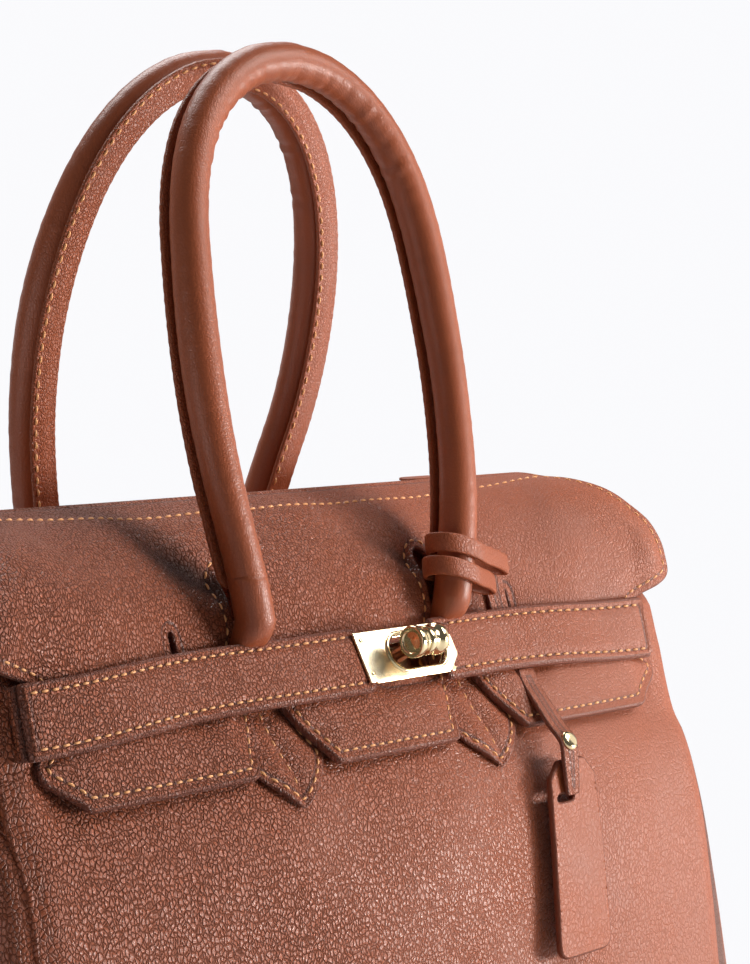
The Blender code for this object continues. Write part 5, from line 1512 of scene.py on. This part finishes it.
LINING_LIFT = -LEATHER - 0.0022


def lining_rows(inset, floor):
    """The lining's outline at many heights, inside the panels and gussets, and never under the floor."""
    rows = []
    for height in np.linspace(0.0086, 0.2300, 50):
        share = np.linspace(-1, 1, 31)
        level = max(height, floor)
        gusset = gusset_x(share, height, 6)
        depth = float(depth_at(np.array([gusset[0] - 0.006]), height, LINING_LIFT)[0]) - inset
        side = gusset - LEATHER - 0.0006 - inset - 0.006 * share**6
        right = np.stack([side, share * depth, np.full(len(side), level)], 1)
        wide = np.linspace(1, -1, 41)[1:-1] * (gusset[0] - LEATHER - 0.0066 - inset)
        front = np.minimum(depth_at(wide, height, LINING_LIFT) - inset, depth)
        back = np.stack([wide, front, np.full(len(wide), level)], 1)
        rows.append(np.concatenate([right, back, right * (-1, -1, 1), back * (-1, -1, 1)]))
    return np.array(rows)


outer, inner = lining_rows(0.0, 0.0), lining_rows(0.0012, 0.012)
ringed("lining_skin", np.concatenate([outer, inner[::-1]]), CLOTH)
thread_objects()
print("objects:", len(made), "faces:", sum(len(o.data.polygons) for o in made))

# %% [markdown]
# ## Frame nodes
# Every CAD node is stood for by the piece made for it, which has the node's name with _skin at its end, or
# is listed below.

# %%
OTHER_NODES = {
    "base_skin": "base_panel", "left_anchor_skin": "left_strap_anchor",
    "right_anchor_skin": "right_strap_anchor", "post_skin": "lock_post", "toggle_skin": "lock_toggle",
    "slider_plate_skin": "zip_slider", "pull_grip_skin": "zip_pull", "tag_loop_low_skin": "tag_loop_lower",
    "tag_loop_high_skin": "tag_loop_upper",
}
for end in ("front_left", "front_right", "rear_left", "rear_right"):
    OTHER_NODES[f"{end}_tab_skin"] = f"{end}_handle_tab"
SLOTS = {
    "pebbled_leather": (PEBBLE, PANEL_HIDE, TAG_HIDE), "smooth_leather": (STRAP_HIDE, SMOOTH_HIDE, TUBE_HIDE),
    "gold_metal": (GOLD, PLATE), "zip_fabric": (TAPE,), "lining_fabric": (CLOTH,),
}
stood_for = set()
for obj in made:
    node = OTHER_NODES.get(obj.name, obj.name.removesuffix("_skin"))
    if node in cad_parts:
        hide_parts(node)
        stood_for.add(node)
    for slot, looks in SLOTS.items():
        obj.data.materials[0] in looks
print("nodes stood for:", len(stood_for), "of", len(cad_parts))

# %% [markdown]
# ## Floor, light and camera
# The camera sees a near-white floor and background. Other rays see a grey world with a lighter sweep low
# down behind the bag at the right, which the leather and the metal mirror. The key light stands low in
# front at the right, so the bag's left side falls into shade as in the photograph; a wash from above it, a
# weak side light, a top light from behind and a light from the left fill in. The camera was solved from
# measured points of the picture.

# %%
world = bpy.data.worlds.new("studio")
bpy.context.scene.world = world
world.use_nodes = True
sky = world.node_tree
back = sky.nodes["Background"]
rays = sky.nodes.new("ShaderNodeLightPath")
either = math_node(sky, "MAXIMUM", rays.outputs["Is Camera Ray"], rays.outputs["Is Transmission Ray"])
ray = add(sky, "ShaderNodeTexCoord").outputs["Generated"]
towards = (0.62, 0.74, 0.0)
behind = add(sky, "ShaderNodeVectorMath", {"operation": "DOT_PRODUCT"}, i0=ray, i1=towards).outputs["Value"]
climb = add(sky, "ShaderNodeSeparateXYZ", Vector=ray).outputs["Z"]
near_floor = map_range(sky, climb, 0.08, 0.45, 1.0, 0.0)
share = math_node(sky, "MULTIPLY", map_range(sky, behind, 0.15, 0.80), near_floor)
sweep = mix_colour(sky, share, (0.10, 0.10, 0.10, 1), (0.90, 0.90, 0.90, 1))
tone = mix_colour(sky, either, sweep, WHITE_PAPER)
sky.links.new(tone, back.inputs["Color"])
back.inputs["Strength"].default_value = 1.0

FLOOR_HALF = 6
floor_mesh = bpy.data.meshes.new("floor")
corners = [(x * FLOOR_HALF, y * FLOOR_HALF, 0) for x, y in ((-1, -1), (1, -1), (1, 1), (-1, 1))]
floor_mesh.from_pydata(corners, [], [(0, 1, 2, 3)])
floor = bpy.data.objects.new("floor", floor_mesh)
paper = plain("floor_look", (0.90, 0.90, 0.90), 0.8)
ground = paper.node_tree
seen = ground.nodes.new("ShaderNodeLightPath").outputs["Is Camera Ray"]
glow = add(ground, "ShaderNodeEmission", Color=WHITE_PAPER, Strength=1.0)
surface = ground.nodes["Principled BSDF"].outputs[0]
blend = add(ground, "ShaderNodeMixShader", i0=seen, i1=surface, i2=glow.outputs[0])
ground.links.new(blend.outputs[0], ground.nodes["Material Output"].inputs["Surface"])
floor.data.materials.append(paper)
bpy.context.scene.collection.objects.link(floor)


def area_light(name, at, target, size, power, colour=(1, 1, 1)):
    data = bpy.data.lights.new(name, "AREA")
    data.shape = "RECTANGLE"
    data.size, data.size_y = size
    data.energy = power
    data.color = colour
    light = bpy.data.objects.new(name, data)
    light.location = at
    light.rotation_euler = (Vector(target) - Vector(at)).to_track_quat("-Z", "Y").to_euler()
    bpy.context.scene.collection.objects.link(light)


WARM = (1.0, 0.97, 0.93)
area_light("key", (1.03, -1.10, 0.06), (0.0, -0.08, 0.12), (0.45, 0.45), 29.0, WARM)
area_light("wash", (0.52, -0.56, 0.85), (0.14, -0.20, 0.04), (0.5, 0.5), 6.0, WARM)
area_light("side", (0.64, -0.30, 0.38), (0.05, -0.06, 0.15), (0.3, 0.5), 0.4, WARM)
area_light("top", (0.15, 0.45, 1.00), (0.0, 0.0, 0.2), (0.7, 0.4), 6.5)
area_light("left", (-1.10, 0.05, 0.12), (0.0, 0.0, 0.25), (0.4, 0.5), 2.0)

CAMERA_AT = (-0.593, -0.586, 0.307)
CAMERA_DOWN, CAMERA_RIGHT = 3.75, 48.26
FOCAL_LENGTH = 93.6
camera_data = bpy.data.cameras.new("camera")
camera_data.lens = FOCAL_LENGTH
camera_data.sensor_width = 36.0
camera = bpy.data.objects.new("camera", camera_data)
bpy.context.scene.collection.objects.link(camera)
camera.location = CAMERA_AT
camera.rotation_euler = (math.radians(90 - CAMERA_DOWN), 0.0, math.radians(-CAMERA_RIGHT))
bpy.context.scene.camera = camera
bpy.context.scene.view_settings.view_transform = "Standard"
print("camera at", tuple(round(v, 3) for v in camera.location))
